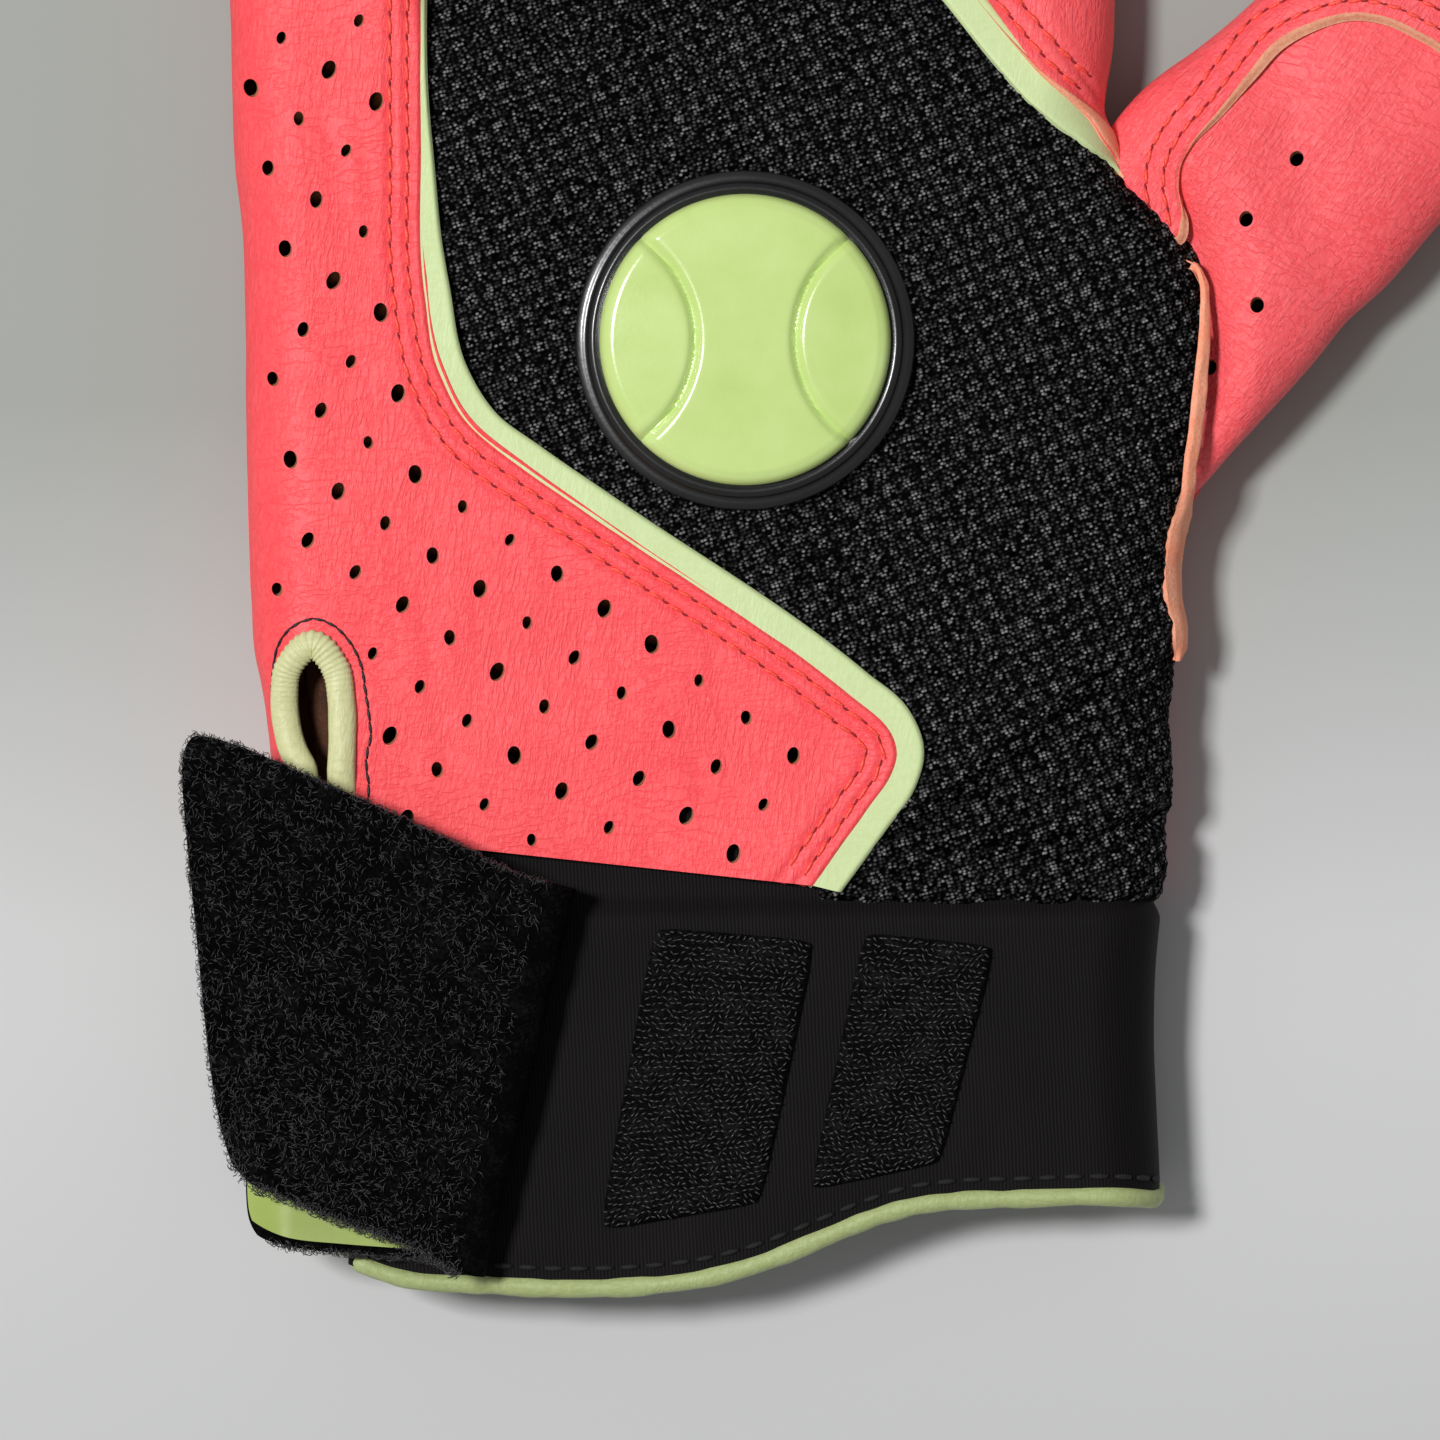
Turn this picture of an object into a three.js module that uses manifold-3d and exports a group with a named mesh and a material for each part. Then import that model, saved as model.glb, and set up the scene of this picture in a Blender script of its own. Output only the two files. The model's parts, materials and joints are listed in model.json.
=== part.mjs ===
// A left-hand batting glove lying palm down: leather palm, panelled back, stretch cuff and a wrist strap
// that is peeled open. Millimetres. X runs across the hand towards the thumb, Y along the fingers and Z up
// from the table. The origin is on the table under the middle of the palm.
import * as THREE from "three";
import Module from "manifold-3d";

const wasm = await Module();
wasm.setup();

// Sheets and seams
const SEAM_GAP = 0.3;
const LEATHER = 1.2;
const STRETCH_MESH = 1.6;
const CUFF_KNIT = 2.0;

// The flattened hand and cuff
const HAND_HEIGHT = 14;
const EDGE_RADIUS = 5.5;
const WRIST_Y = -45.5;
const WRIST_LEFT = -45;
const WRIST_RIGHT = 44.5;
const CUFF_WAIST = new THREE.Vector2(43.4, -60);
const THUMB_ROOT_LOW = new THREE.Vector2(47.3, -7.5);
const THUMB_WEB = new THREE.Vector2(48.5, 8);
const THUMB_CROTCH = new THREE.Vector2(40, 28.5);
const HEM_LEFT_Y = -85.6;
const HEM_RIGHT_Y = -77.1;
const HEM_RISE_START = -6;
const HEM_RISE_END = 24;

// Fingers, from the little finger to the index finger
const KNUCKLE_LEFT = -49.4;
const KNUCKLE_Y = [50, 53.3, 55.3, 55.3, 52.7];
const FINGERS = [
  { name: "little", span: 20.9, length: 58, tipWidth: 15.5, fourchettes: { little_fourchette: 1 } },
  { name: "ring", span: 23, length: 74, tipWidth: 17.5,
    fourchettes: { ring_fourchette_outer: -1, ring_fourchette_inner: 1 } },
  { name: "middle", span: 23.5, length: 80, tipWidth: 18,
    fourchettes: { middle_fourchette_outer: -1, middle_fourchette_inner: 1 } },
  { name: "index", span: 21.3, length: 72, tipWidth: 17.5, fourchettes: { index_fourchette: -1 } },
];
const FINGER_SPACING = 1.2;
const FINGER_TIP_HEIGHT = 12;
const FINGER_EDGE_RADIUS = 5;
const FINGER_TIP_ROUND = 9;
const FOURCHETTE_WIDTH = 6;

// Thumb
const THUMB_ANGLE = THREE.MathUtils.degToRad(45.5);
const THUMB_ROOT = new THREE.Vector2(42.5, 11.6);
const THUMB_INSIDE = 14;
const THUMB_LENGTH = 68;
const THUMB_ROOT_WIDTH = 31;
const THUMB_TIP_WIDTH = 25;
const THUMB_TIP_HEIGHT = 12;
const THUMB_TIP_ROUND = 12;
const VENT_PANEL_MARGIN = 4.5;
const VENT_PANEL_LENGTH = 40.5;
const VENT_ARCH_DEPTH = 11;
const WRAP_LIFT = 0.5;

// Trims and bindings
const TRIM_WIDTH = 2.4;
const TRIM_LIFT = 0.5;
const RAW_EDGE_WIDTH = 1.9;
const RAW_EDGE_END_Y = -22;
const SLIT_X = -39.6;
const SLIT_APEX_Y = -21.6;
const SLIT_WIDTH = 3;
const BINDING_WIDTH = 2.5;
const BINDING_BULGE = 0.5;
const HEM_WIDTH = 1.7;

// Badge
const BADGE_CENTRE = new THREE.Vector2(2.5, 10);
const BADGE_RADIUS = 17;
const BADGE_THICKNESS = 1.4;
const BADGE_RIM = 2.2;
const BADGE_RECESS = 0.5;
const INSERT_EDGE = 1.0;
const INSERT_DOME = 1.3;
const INSERT_GROOVE_REACH = 12;
const INSERT_GROOVE_RADIUS = 0.75;
const INSERT_GROOVE_OFFSET = 5;

// Strap and hook tape
const STRAP_LAYER = 1.0;
const FOLD_TOP = new THREE.Vector2(-17, -44);
const FOLD_BOTTOM = new THREE.Vector2(-26.2, -83);
const STRAP_ROOT_TOP_Y = -43;
const STRAP_ROOT_BOTTOM_Y = -78.5;
const FLAP_CORNER_TOP = new THREE.Vector2(-53.6, -29.2);
const FLAP_CORNER_BOTTOM = new THREE.Vector2(-49.7, -73.5);
const FLAP_CORNER_RADIUS = 3.5;
const HOOK_TAPE = 0.8;
const HOOK_CORNER_RADIUS = 2.5;
const HOOK_SLANT = 5.5;
const HOOK_INNER = { left: -12.5, width: 17, top: -48.5, bottom: -79.5 };
const HOOK_OUTER = { left: 8.5, width: 14, top: -49, bottom: -75.5 };

// Facets
const CORNER_STEPS = 5;
const EDGE_STEPS = 16;
const DOME_ANGLES = [25, 50, 70, 86].map(THREE.MathUtils.degToRad);
const REACH = 300;

const MID_Z = HAND_HEIGHT / 2;

const coralLeather = () => new THREE.MeshStandardMaterial({ color: 0xff5e64, roughness: 0.55, metalness: 0 });
const limeLeather = () => new THREE.MeshStandardMaterial({ color: 0xd9ebad, roughness: 0.5, metalness: 0 });
const blackMesh = () => new THREE.MeshStandardMaterial({ color: 0x161618, roughness: 0.8, metalness: 0 });
const blackKnit = () => new THREE.MeshStandardMaterial({ color: 0x1e1c1b, roughness: 0.85, metalness: 0 });
const blackLoop = () => new THREE.MeshStandardMaterial({ color: 0x0d0d0e, roughness: 0.95, metalness: 0 });
const rawLeather = () => new THREE.MeshStandardMaterial({ color: 0xf0967a, roughness: 0.8, metalness: 0 });
const blackMoulding = () => new THREE.MeshStandardMaterial({ color: 0x0c0c0d, roughness: 0.3, metalness: 0 });
const limeMoulding = () => new THREE.MeshStandardMaterial({ color: 0xcde496, roughness: 0.25, metalness: 0 });

const glove = new THREE.Group();

// Solids for cutting and joining

function solidFromFaces(positions, triangles) {
  return new wasm.Manifold(
    new wasm.Mesh({
      numProp: 3,
      vertProperties: new Float32Array(positions),
      triVerts: new Uint32Array(triangles),
    }),
  );
}

function solidFromGeometry(geometry) {
  const points = geometry.getAttribute("position");
  const index = geometry.index ? geometry.index.array : points.array.map((_, i) => i).slice(0, points.count);
  const places = new Map();
  const positions = [];
  const cornerOf = [];
  for (let i = 0; i < points.count; i++) {
    const corner = [points.getX(i), points.getY(i), points.getZ(i)];
    const key = corner.map((value) => Math.round(value * 1e4)).join();
    if (!places.has(key)) {
      places.set(key, places.size);
      positions.push(...corner);
    }
    cornerOf.push(places.get(key));
  }
  const triangles = [];
  for (let i = 0; i < index.length; i += 3) {
    const [a, b, c] = [cornerOf[index[i]], cornerOf[index[i + 1]], cornerOf[index[i + 2]]];
    if (a !== b && b !== c && c !== a) triangles.push(a, b, c);
  }
  return solidFromFaces(positions, triangles);
}

function addPiece(name, solid, material) {
  const { numProp, numVert, vertProperties, triVerts } = solid.getMesh();
  const positions = new Float32Array(numVert * 3);
  for (let i = 0; i < numVert; i++) positions.set(vertProperties.subarray(i * numProp, i * numProp + 3), i * 3);
  const geometry = new THREE.BufferGeometry();
  geometry.setAttribute("position", new THREE.BufferAttribute(positions, 3));
  geometry.setIndex(new THREE.BufferAttribute(new Uint32Array(triVerts), 1));
  geometry.computeVertexNormals();
  const piece = new THREE.Mesh(geometry, material);
  piece.name = name;
  glove.add(piece);
}

function prism(outline, low = -REACH, high = REACH) {
  const shape = outline instanceof THREE.Shape ? outline : new THREE.Shape(outline);
  const geometry = new THREE.ExtrudeGeometry(shape, { depth: high - low, bevelEnabled: false, curveSegments: 4 });
  return solidFromGeometry(geometry.translate(0, 0, low));
}

function slab(low, high) {
  const geometry = new THREE.BoxGeometry(2 * REACH, 2 * REACH, high - low);
  return solidFromGeometry(geometry.translate(0, 0, (low + high) / 2));
}

// A closed tube through rounded-rectangle stations, each {origin, across, width, height, z, radius}
function tube(stations) {
  const positions = [];
  const triangles = [];
  for (const { origin, across, width, height, z, radius } of stations) {
    const corner = Math.min(radius, 0.48 * width, 0.48 * height);
    const signs = [[1, 1], [-1, 1], [-1, -1], [1, -1]];
    signs.forEach(([side, level], quarter) => {
      for (let step = 0; step <= CORNER_STEPS; step++) {
        const angle = ((quarter + step / CORNER_STEPS) * Math.PI) / 2;
        const u = side * (width / 2 - corner) + corner * Math.cos(angle);
        const w = level * (height / 2 - corner) + corner * Math.sin(angle);
        positions.push(origin.x + across.x * u, origin.y + across.y * u, z + w);
      }
    });
  }
  const ringSize = 4 * (CORNER_STEPS + 1);
  const last = (stations.length - 1) * ringSize;
  for (let row = 0; row < stations.length - 1; row++) {
    for (let i = 0; i < ringSize; i++) {
      const a = row * ringSize + i;
      const b = row * ringSize + ((i + 1) % ringSize);
      triangles.push(a, b, b + ringSize, a, b + ringSize, a + ringSize);
    }
  }
  for (let i = 1; i < ringSize - 1; i++) {
    triangles.push(0, i + 1, i, last, last + i, last + i + 1);
  }
  const outward = triangles.slice();
  const solid = solidFromFaces(positions, outward);
  if (solid.volume() > 0) return solid;
  for (let i = 0; i < outward.length; i += 3) [outward[i], outward[i + 1]] = [outward[i + 1], outward[i]];
  return solidFromFaces(positions, outward);
}

// Outline helpers

function offsetPath(path, distance) {
  return path.map((point, i) => {
    const before = path[Math.max(i - 1, 0)];
    const after = path[Math.min(i + 1, path.length - 1)];
    const along = after.clone().sub(before).normalize();
    return new THREE.Vector2(point.x - along.y * distance, point.y + along.x * distance);
  });
}

function band(path, from, to) {
  return offsetPath(path, from).concat(offsetPath(path, to).reverse());
}

function roundedOutline(corners, radius) {
  const shape = new THREE.Shape();
  corners.forEach((corner, i) => {
    const before = corners[(i + corners.length - 1) % corners.length];
    const after = corners[(i + 1) % corners.length];
    const entry = corner.clone().add(before.clone().sub(corner).setLength(radius));
    const exit = corner.clone().add(after.clone().sub(corner).setLength(radius));
    if (i === 0) shape.moveTo(entry.x, entry.y);
    else shape.lineTo(entry.x, entry.y);
    shape.quadraticCurveTo(corner.x, corner.y, exit.x, exit.y);
  });
  shape.closePath();
  return shape;
}

const point = (x, y) => new THREE.Vector2(x, y);

// The hand and cuff tube

const knuckles = [point(KNUCKLE_LEFT, KNUCKLE_Y[0])];
FINGERS.forEach((finger, i) => knuckles.push(point(knuckles[i].x + finger.span, KNUCKLE_Y[i + 1])));
const knuckleRight = knuckles.at(-1).x;
const knuckleTop = Math.max(...KNUCKLE_Y);
const tubeEndY = knuckleTop + 5;
const cuffEndY = HEM_LEFT_Y - 5;
const mouthOverrun = 5;

const rightEdge = new THREE.SplineCurve([
  point(WRIST_RIGHT, cuffEndY),
  CUFF_WAIST,
  point(WRIST_RIGHT, WRIST_Y),
  THUMB_ROOT_LOW,
  THUMB_WEB,
  THUMB_CROTCH,
  point(knuckleRight, THUMB_CROTCH.y + 12),
  point(knuckleRight, tubeEndY),
]).getPoints(EDGE_STEPS);

function leftEdge(y) {
  const share = THREE.MathUtils.clamp((y - WRIST_Y) / (KNUCKLE_Y[0] - WRIST_Y), 0, 1);
  return THREE.MathUtils.lerp(WRIST_LEFT, KNUCKLE_LEFT, share);
}

function bodyTube(inset, overrun = 0) {
  const stations = rightEdge.map(({ x, y }) => ({
    origin: point((leftEdge(y) + x) / 2, y),
    across: point(1, 0),
    width: x - leftEdge(y) - 2 * inset,
    height: HAND_HEIGHT - 2 * inset,
    z: MID_Z,
    radius: EDGE_RADIUS - inset,
  }));
  stations[0].origin.y -= overrun;
  stations.at(-1).origin.y += overrun;
  return tube(stations);
}

const bodyShell = (outset, inset) => bodyTube(-outset).subtract(bodyTube(inset, mouthOverrun));

// Fingers and thumb are tapering tubes with domed tips

function digitTube(digit, start, inset) {
  const { origin, along, length, rootWidth, tipWidth, rootHeight, tipHeight, tipRound, edgeRadius } = digit;
  const across = point(along.y, -along.x);
  const shaft = length - tipRound;
  const station = (share, advance, shrink) => {
    const height = THREE.MathUtils.lerp(rootHeight, tipHeight, share);
    return {
      origin: origin.clone().addScaledVector(along, advance),
      across,
      width: (THREE.MathUtils.lerp(rootWidth, tipWidth, share) - 2 * inset) * shrink,
      height: (height - 2 * inset) * shrink,
      z: height / 2,
      radius: (edgeRadius - inset) * shrink,
    };
  };
  const stations = [station(0, start, 1), station(0.5, shaft / 2, 1), station(1, shaft, 1)];
  for (const angle of DOME_ANGLES) {
    stations.push(station(1, shaft + (tipRound - inset) * Math.sin(angle), Math.cos(angle)));
  }
  return tube(stations);
}

const thumb = {
  origin: THUMB_ROOT,
  along: point(Math.cos(THUMB_ANGLE), Math.sin(THUMB_ANGLE)),
  length: THUMB_LENGTH,
  rootWidth: THUMB_ROOT_WIDTH,
  tipWidth: THUMB_TIP_WIDTH,
  rootHeight: HAND_HEIGHT,
  tipHeight: THUMB_TIP_HEIGHT,
  tipRound: THUMB_TIP_ROUND,
  edgeRadius: EDGE_RADIUS,
};
const thumbCavity = digitTube(thumb, -THUMB_INSIDE, LEATHER);

// Regions of the back, seen from above

const upper = slab(MID_Z + SEAM_GAP / 2, REACH);
const lower = slab(-REACH, MID_Z - SEAM_GAP / 2);
const aboveTable = slab(0, REACH);

const thumbLine = [THUMB_ROOT_LOW, THUMB_CROTCH];
function thumbSide(clearance) {
  const [low, crotch] = offsetPath(thumbLine, -clearance);
  return prism([
    low,
    point(low.x + 1, low.y - REACH),
    point(REACH, low.y - REACH),
    point(REACH, REACH),
    point(crotch.x, REACH),
    crotch,
  ]);
}

function beyondKnuckles(clearance) {
  const line = knuckles.map(({ x, y }) => point(x, y - clearance));
  const [first, last] = [line[0], line.at(-1)];
  return prism([point(-REACH, first.y), ...line, point(REACH, last.y), point(REACH, REACH), point(-REACH, REACH)]);
}

function wristRegion(side) {
  const edge = WRIST_Y + (side * SEAM_GAP) / 2;
  const far = side * REACH;
  const corners = [point(-REACH, edge), point(REACH, edge), point(REACH, far), point(-REACH, far)];
  return prism(side > 0 ? corners : corners.reverse());
}

const notHand = thumbSide(-SEAM_GAP / 2).add(beyondKnuckles(SEAM_GAP / 2)).add(wristRegion(-1));

// Edge of the big leather panel: down beside the little finger, across the hand, round a corner to the wrist
const panelEdge = new THREE.Path()
  .moveTo(-29.8, REACH / 3)
  .lineTo(-29.8, 17)
  .bezierCurveTo(-29.8, 5, -26, 1, -19.3, -3.2)
  .lineTo(13.2, -25.8)
  .quadraticCurveTo(20.4, -30.8, 15.9, -36)
  .lineTo(9.4, -44.6)
  .lineTo(4, -52)
  .getPoints(8);
const trimStart = SEAM_GAP;
const trimEnd = trimStart + TRIM_WIDTH;
const meshStart = trimEnd + SEAM_GAP;
const pinkySide = prism(panelEdge.concat([point(-REACH, -52), point(-REACH, REACH / 3)]).reverse());
const pinkyTrimBand = prism(band(panelEdge, trimStart, trimEnd));
const leftOfMesh = prism(offsetPath(panelEdge, meshStart).concat([point(-REACH, -52), point(-REACH, REACH / 3)]));

// Edge of the leather at the index finger, from its knuckle down to the thumb crotch
const indexEdge = new THREE.Path()
  .moveTo(16, knuckleTop + 12)
  .bezierCurveTo(24, 45, 30, 38, THUMB_CROTCH.x - 0.6, THUMB_CROTCH.y)
  .lineTo(THUMB_CROTCH.x + 8, THUMB_CROTCH.y - 7)
  .getPoints(8);
const indexSide = prism(indexEdge.concat([point(REACH, REACH / 3)]));
const indexTrimBand = prism(band(indexEdge, -trimStart, -trimEnd));
const rightOfMesh = prism(offsetPath(indexEdge, -meshStart).concat([point(REACH, REACH / 3)]));

// Raw edge of the palm leather along the thumb line and on down the side of the hand
const sideRun = rightEdge.filter(({ y }) => y > RAW_EDGE_END_Y && y < THUMB_ROOT_LOW.y - 1);
const rawEdgePath = [...sideRun, THUMB_ROOT_LOW, THUMB_CROTCH.clone().lerp(THUMB_ROOT_LOW, 0.3)];
const rawEdgeBand = prism(band(rawEdgePath, RAW_EDGE_WIDTH, -RAW_EDGE_WIDTH));
const rawEdgeZone = prism(band(rawEdgePath, RAW_EDGE_WIDTH + SEAM_GAP, -2 * RAW_EDGE_WIDTH));

// The wrist slit, a slot with a round top that runs out through the cuff
function slot(width, apexY) {
  const radius = width / 2;
  const shape = new THREE.Shape();
  shape.moveTo(SLIT_X - radius, cuffEndY - mouthOverrun);
  shape.lineTo(SLIT_X + radius, cuffEndY - mouthOverrun);
  shape.lineTo(SLIT_X + radius, apexY - radius);
  shape.absarc(SLIT_X, apexY - radius, radius, 0, Math.PI);
  shape.closePath();
  return prism(shape, MID_Z, REACH);
}
const slitOpening = slot(SLIT_WIDTH, SLIT_APEX_Y);
const slitOuter = slot(SLIT_WIDTH + 2 * BINDING_WIDTH, SLIT_APEX_Y + BINDING_WIDTH);
const slitSurround = slot(
  SLIT_WIDTH + 2 * (BINDING_WIDTH + SEAM_GAP),
  SLIT_APEX_Y + BINDING_WIDTH + SEAM_GAP,
);

// Everything below the hem line, which rises from the little-finger side to the thumb side
function belowHem(lift) {
  const line = [];
  for (let step = 0; step <= EDGE_STEPS; step++) {
    const x = THREE.MathUtils.lerp(HEM_RISE_START - 10, HEM_RISE_END + 10, step / EDGE_STEPS);
    const rise = THREE.MathUtils.smoothstep(x, HEM_RISE_START, HEM_RISE_END);
    line.push(point(x, THREE.MathUtils.lerp(HEM_LEFT_Y, HEM_RIGHT_Y, rise) + lift));
  }
  const [first, last] = [line[0], line.at(-1)];
  return prism([
    point(-REACH, -REACH),
    point(REACH, -REACH),
    point(REACH, last.y),
    ...line.reverse(),
    point(-REACH, first.y),
  ]);
}

// Hand panels

const leatherShell = bodyShell(0, LEATHER).subtract(thumbCavity).subtract(notHand);
const meshShell = bodyShell(0, STRETCH_MESH).subtract(thumbCavity).subtract(notHand);
const trimShell = bodyShell(TRIM_LIFT, LEATHER).subtract(thumbCavity).subtract(notHand);

function largest(solid) {
  return solid.decompose().sort((a, b) => b.volume() - a.volume())[0];
}

addPiece("palm_panel", largest(leatherShell.intersect(lower)), coralLeather());
addPiece(
  "pinky_side_panel",
  largest(leatherShell.intersect(upper).intersect(pinkySide).subtract(slitSurround)),
  coralLeather(),
);
addPiece("pinky_side_trim", largest(trimShell.intersect(upper).intersect(pinkyTrimBand)), limeLeather());
addPiece("index_side_panel", largest(leatherShell.intersect(upper).intersect(indexSide)), coralLeather());
addPiece("index_side_trim", largest(trimShell.intersect(upper).intersect(indexTrimBand)), limeLeather());
addPiece(
  "thumb_side_edge",
  largest(leatherShell.intersect(upper).intersect(rawEdgeBand).subtract(rightOfMesh)),
  rawLeather(),
);
addPiece(
  "back_mesh_panel",
  largest(meshShell.intersect(upper).subtract(leftOfMesh).subtract(rightOfMesh).subtract(rawEdgeZone)),
  blackMesh(),
);

// Badge: a moulded base with a rim, and a domed insert that sits in it

function lathe(profile) {
  const points = profile.map(([radius, z]) => point(radius, z));
  return solidFromGeometry(new THREE.LatheGeometry(points, 40).rotateX(Math.PI / 2));
}

function addBadge() {
  const seat = HAND_HEIGHT + SEAM_GAP;
  const insertRadius = BADGE_RADIUS - BADGE_RIM;
  const floor = BADGE_THICKNESS - BADGE_RECESS;
  const base = lathe([
    [0, 0],
    [BADGE_RADIUS, 0],
    [BADGE_RADIUS, BADGE_THICKNESS * 0.6],
    [BADGE_RADIUS - BADGE_RIM / 4, BADGE_THICKNESS],
    [insertRadius, BADGE_THICKNESS],
    [insertRadius, floor],
    [0, floor],
  ]);
  const radius = insertRadius - SEAM_GAP;
  const insertFloor = floor + SEAM_GAP;
  const dome = [0.75, 0.5, 0.25, 0].map((share) => [
    radius * Math.sqrt(share),
    insertFloor + INSERT_EDGE + INSERT_DOME * (1 - share),
  ]);
  let insert = lathe([[0, insertFloor], [radius, insertFloor], [radius, insertFloor + INSERT_EDGE], ...dome]);
  for (const side of [-1, 1]) {
    const groove = new THREE.TorusGeometry(INSERT_GROOVE_REACH, INSERT_GROOVE_RADIUS, 8, 40);
    const level = insertFloor + INSERT_EDGE + 0.8 * INSERT_DOME;
    const offset = side * (INSERT_GROOVE_REACH + INSERT_GROOVE_OFFSET);
    insert = insert.subtract(solidFromGeometry(groove.translate(offset, 0, level)));
  }
  const place = [BADGE_CENTRE.x, BADGE_CENTRE.y, seat];
  addPiece("badge_base", base.translate(place), blackMoulding());
  addPiece("badge_insert", insert.translate(place), limeMoulding());
}
addBadge();

// Cuff: the back panel ends at the slit, and the palm panel wraps round to the slit's other side

const cuffShell = bodyShell(0, CUFF_KNIT)
  .intersect(wristRegion(-1))
  .subtract(belowHem(HEM_WIDTH + SEAM_GAP))
  .subtract(slitSurround);
const leftOfSlit = prism(
  [point(-REACH, -REACH), point(SLIT_X, -REACH), point(SLIT_X, REACH), point(-REACH, REACH)],
  0,
  REACH,
);
addPiece("cuff_back_panel", largest(cuffShell.intersect(upper).subtract(leftOfSlit)), blackKnit());
addPiece("cuff_palm_panel", largest(cuffShell.intersect(lower.add(leftOfSlit))), blackKnit());

const hemShell = bodyShell(BINDING_BULGE, CUFF_KNIT + BINDING_BULGE).intersect(aboveTable);
addPiece(
  "cuff_hem_binding",
  largest(hemShell.intersect(belowHem(HEM_WIDTH)).subtract(belowHem(0)).subtract(slitSurround)),
  limeLeather(),
);
const bindingShell = bodyShell(BINDING_BULGE, CUFF_KNIT + BINDING_BULGE).intersect(upper);
addPiece(
  "slit_binding",
  largest(bindingShell.intersect(slitOuter).subtract(slitOpening).subtract(belowHem(0))),
  limeLeather(),
);

// Hook tape on the cuff

function hookTape({ left, width, top, bottom }) {
  const corners = [
    point(left + HOOK_SLANT, top),
    point(left, bottom),
    point(left + width, bottom + HOOK_SLANT / 2),
    point(left + width + HOOK_SLANT, top - HOOK_SLANT / 4),
  ];
  const low = HAND_HEIGHT + SEAM_GAP;
  return prism(roundedOutline(corners, HOOK_CORNER_RADIUS), low, low + HOOK_TAPE);
}
addPiece("hook_patch_inner", hookTape(HOOK_INNER), blackLoop());
addPiece("hook_patch_outer", hookTape(HOOK_OUTER), blackLoop());

// Strap: two layers wrap over the edge of the cuff to the fold, and the free half lies back over them

const loopLow = BINDING_BULGE + SEAM_GAP;
const faceLow = loopLow + STRAP_LAYER + SEAM_GAP;
const strapTop = faceLow + STRAP_LAYER;
const flapFaceLow = strapTop + SEAM_GAP;
const flapLoopLow = flapFaceLow + STRAP_LAYER + SEAM_GAP;
const flapTop = flapLoopLow + STRAP_LAYER;
const foldMiddle = (loopLow + flapTop) / 2;

const foldAlong = FOLD_BOTTOM.clone().sub(FOLD_TOP);
const rootOutline = [
  FOLD_TOP,
  point(-REACH, STRAP_ROOT_TOP_Y),
  point(-REACH, STRAP_ROOT_BOTTOM_Y),
  point(WRIST_LEFT, STRAP_ROOT_BOTTOM_Y),
  FOLD_BOTTOM,
];
function strapRootLayer(low) {
  const layer = bodyTube(-low - STRAP_LAYER).subtract(bodyTube(-low, mouthOverrun));
  return largest(layer.intersect(upper).intersect(prism(rootOutline)));
}
addPiece("strap_root_loop", strapRootLayer(loopLow), blackLoop());
addPiece("strap_root_face", strapRootLayer(faceLow), limeLeather());

const foldBack = point(-foldAlong.y, foldAlong.x).setLength(-SEAM_GAP);
const flapCorners = [
  FOLD_TOP.clone().add(foldBack),
  FLAP_CORNER_TOP,
  FLAP_CORNER_BOTTOM,
  FOLD_BOTTOM.clone().add(foldBack),
];
function flapOutline() {
  const shape = new THREE.Shape();
  const [foldTop, cornerTop, cornerBottom, foldBottom] = flapCorners;
  const towards = (from, to) => from.clone().add(to.clone().sub(from).setLength(FLAP_CORNER_RADIUS));
  shape.moveTo(foldTop.x, foldTop.y);
  for (const [corner, before, after] of [
    [cornerTop, foldTop, cornerBottom],
    [cornerBottom, cornerTop, foldBottom],
  ]) {
    const entry = towards(corner, before);
    const exit = towards(corner, after);
    shape.lineTo(entry.x, entry.y);
    shape.quadraticCurveTo(corner.x, corner.y, exit.x, exit.y);
  }
  shape.lineTo(foldBottom.x, foldBottom.y);
  shape.closePath();
  return shape;
}
function flapLayer(low) {
  return prism(flapOutline(), HAND_HEIGHT + low, HAND_HEIGHT + low + STRAP_LAYER);
}
addPiece("strap_flap_face", flapLayer(flapFaceLow), limeLeather());
addPiece("strap_flap_loop", flapLayer(flapLoopLow), blackLoop());

function addStrapFold() {
  const radius = (flapTop - loopLow) / 2;
  const section = new THREE.Shape();
  section.moveTo(SEAM_GAP, -radius);
  section.absarc(SEAM_GAP, 0, radius, -Math.PI / 2, Math.PI / 2);
  section.closePath();
  const geometry = new THREE.ExtrudeGeometry(section, {
    depth: foldAlong.length(),
    bevelEnabled: false,
    curveSegments: 10,
  });
  const along = new THREE.Vector3(foldAlong.x, foldAlong.y, 0).normalize();
  const up = new THREE.Vector3(0, 0, 1);
  const away = up.clone().cross(along);
  geometry.applyMatrix4(new THREE.Matrix4().makeBasis(away, up, along));
  geometry.translate(FOLD_TOP.x, FOLD_TOP.y, HAND_HEIGHT + foldMiddle);
  const solid = solidFromGeometry(geometry);
  addPiece("strap_fold", solid, limeLeather());
}
addStrapFold();

// Fingers: palm side, back and the side strips that face the next finger

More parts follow.
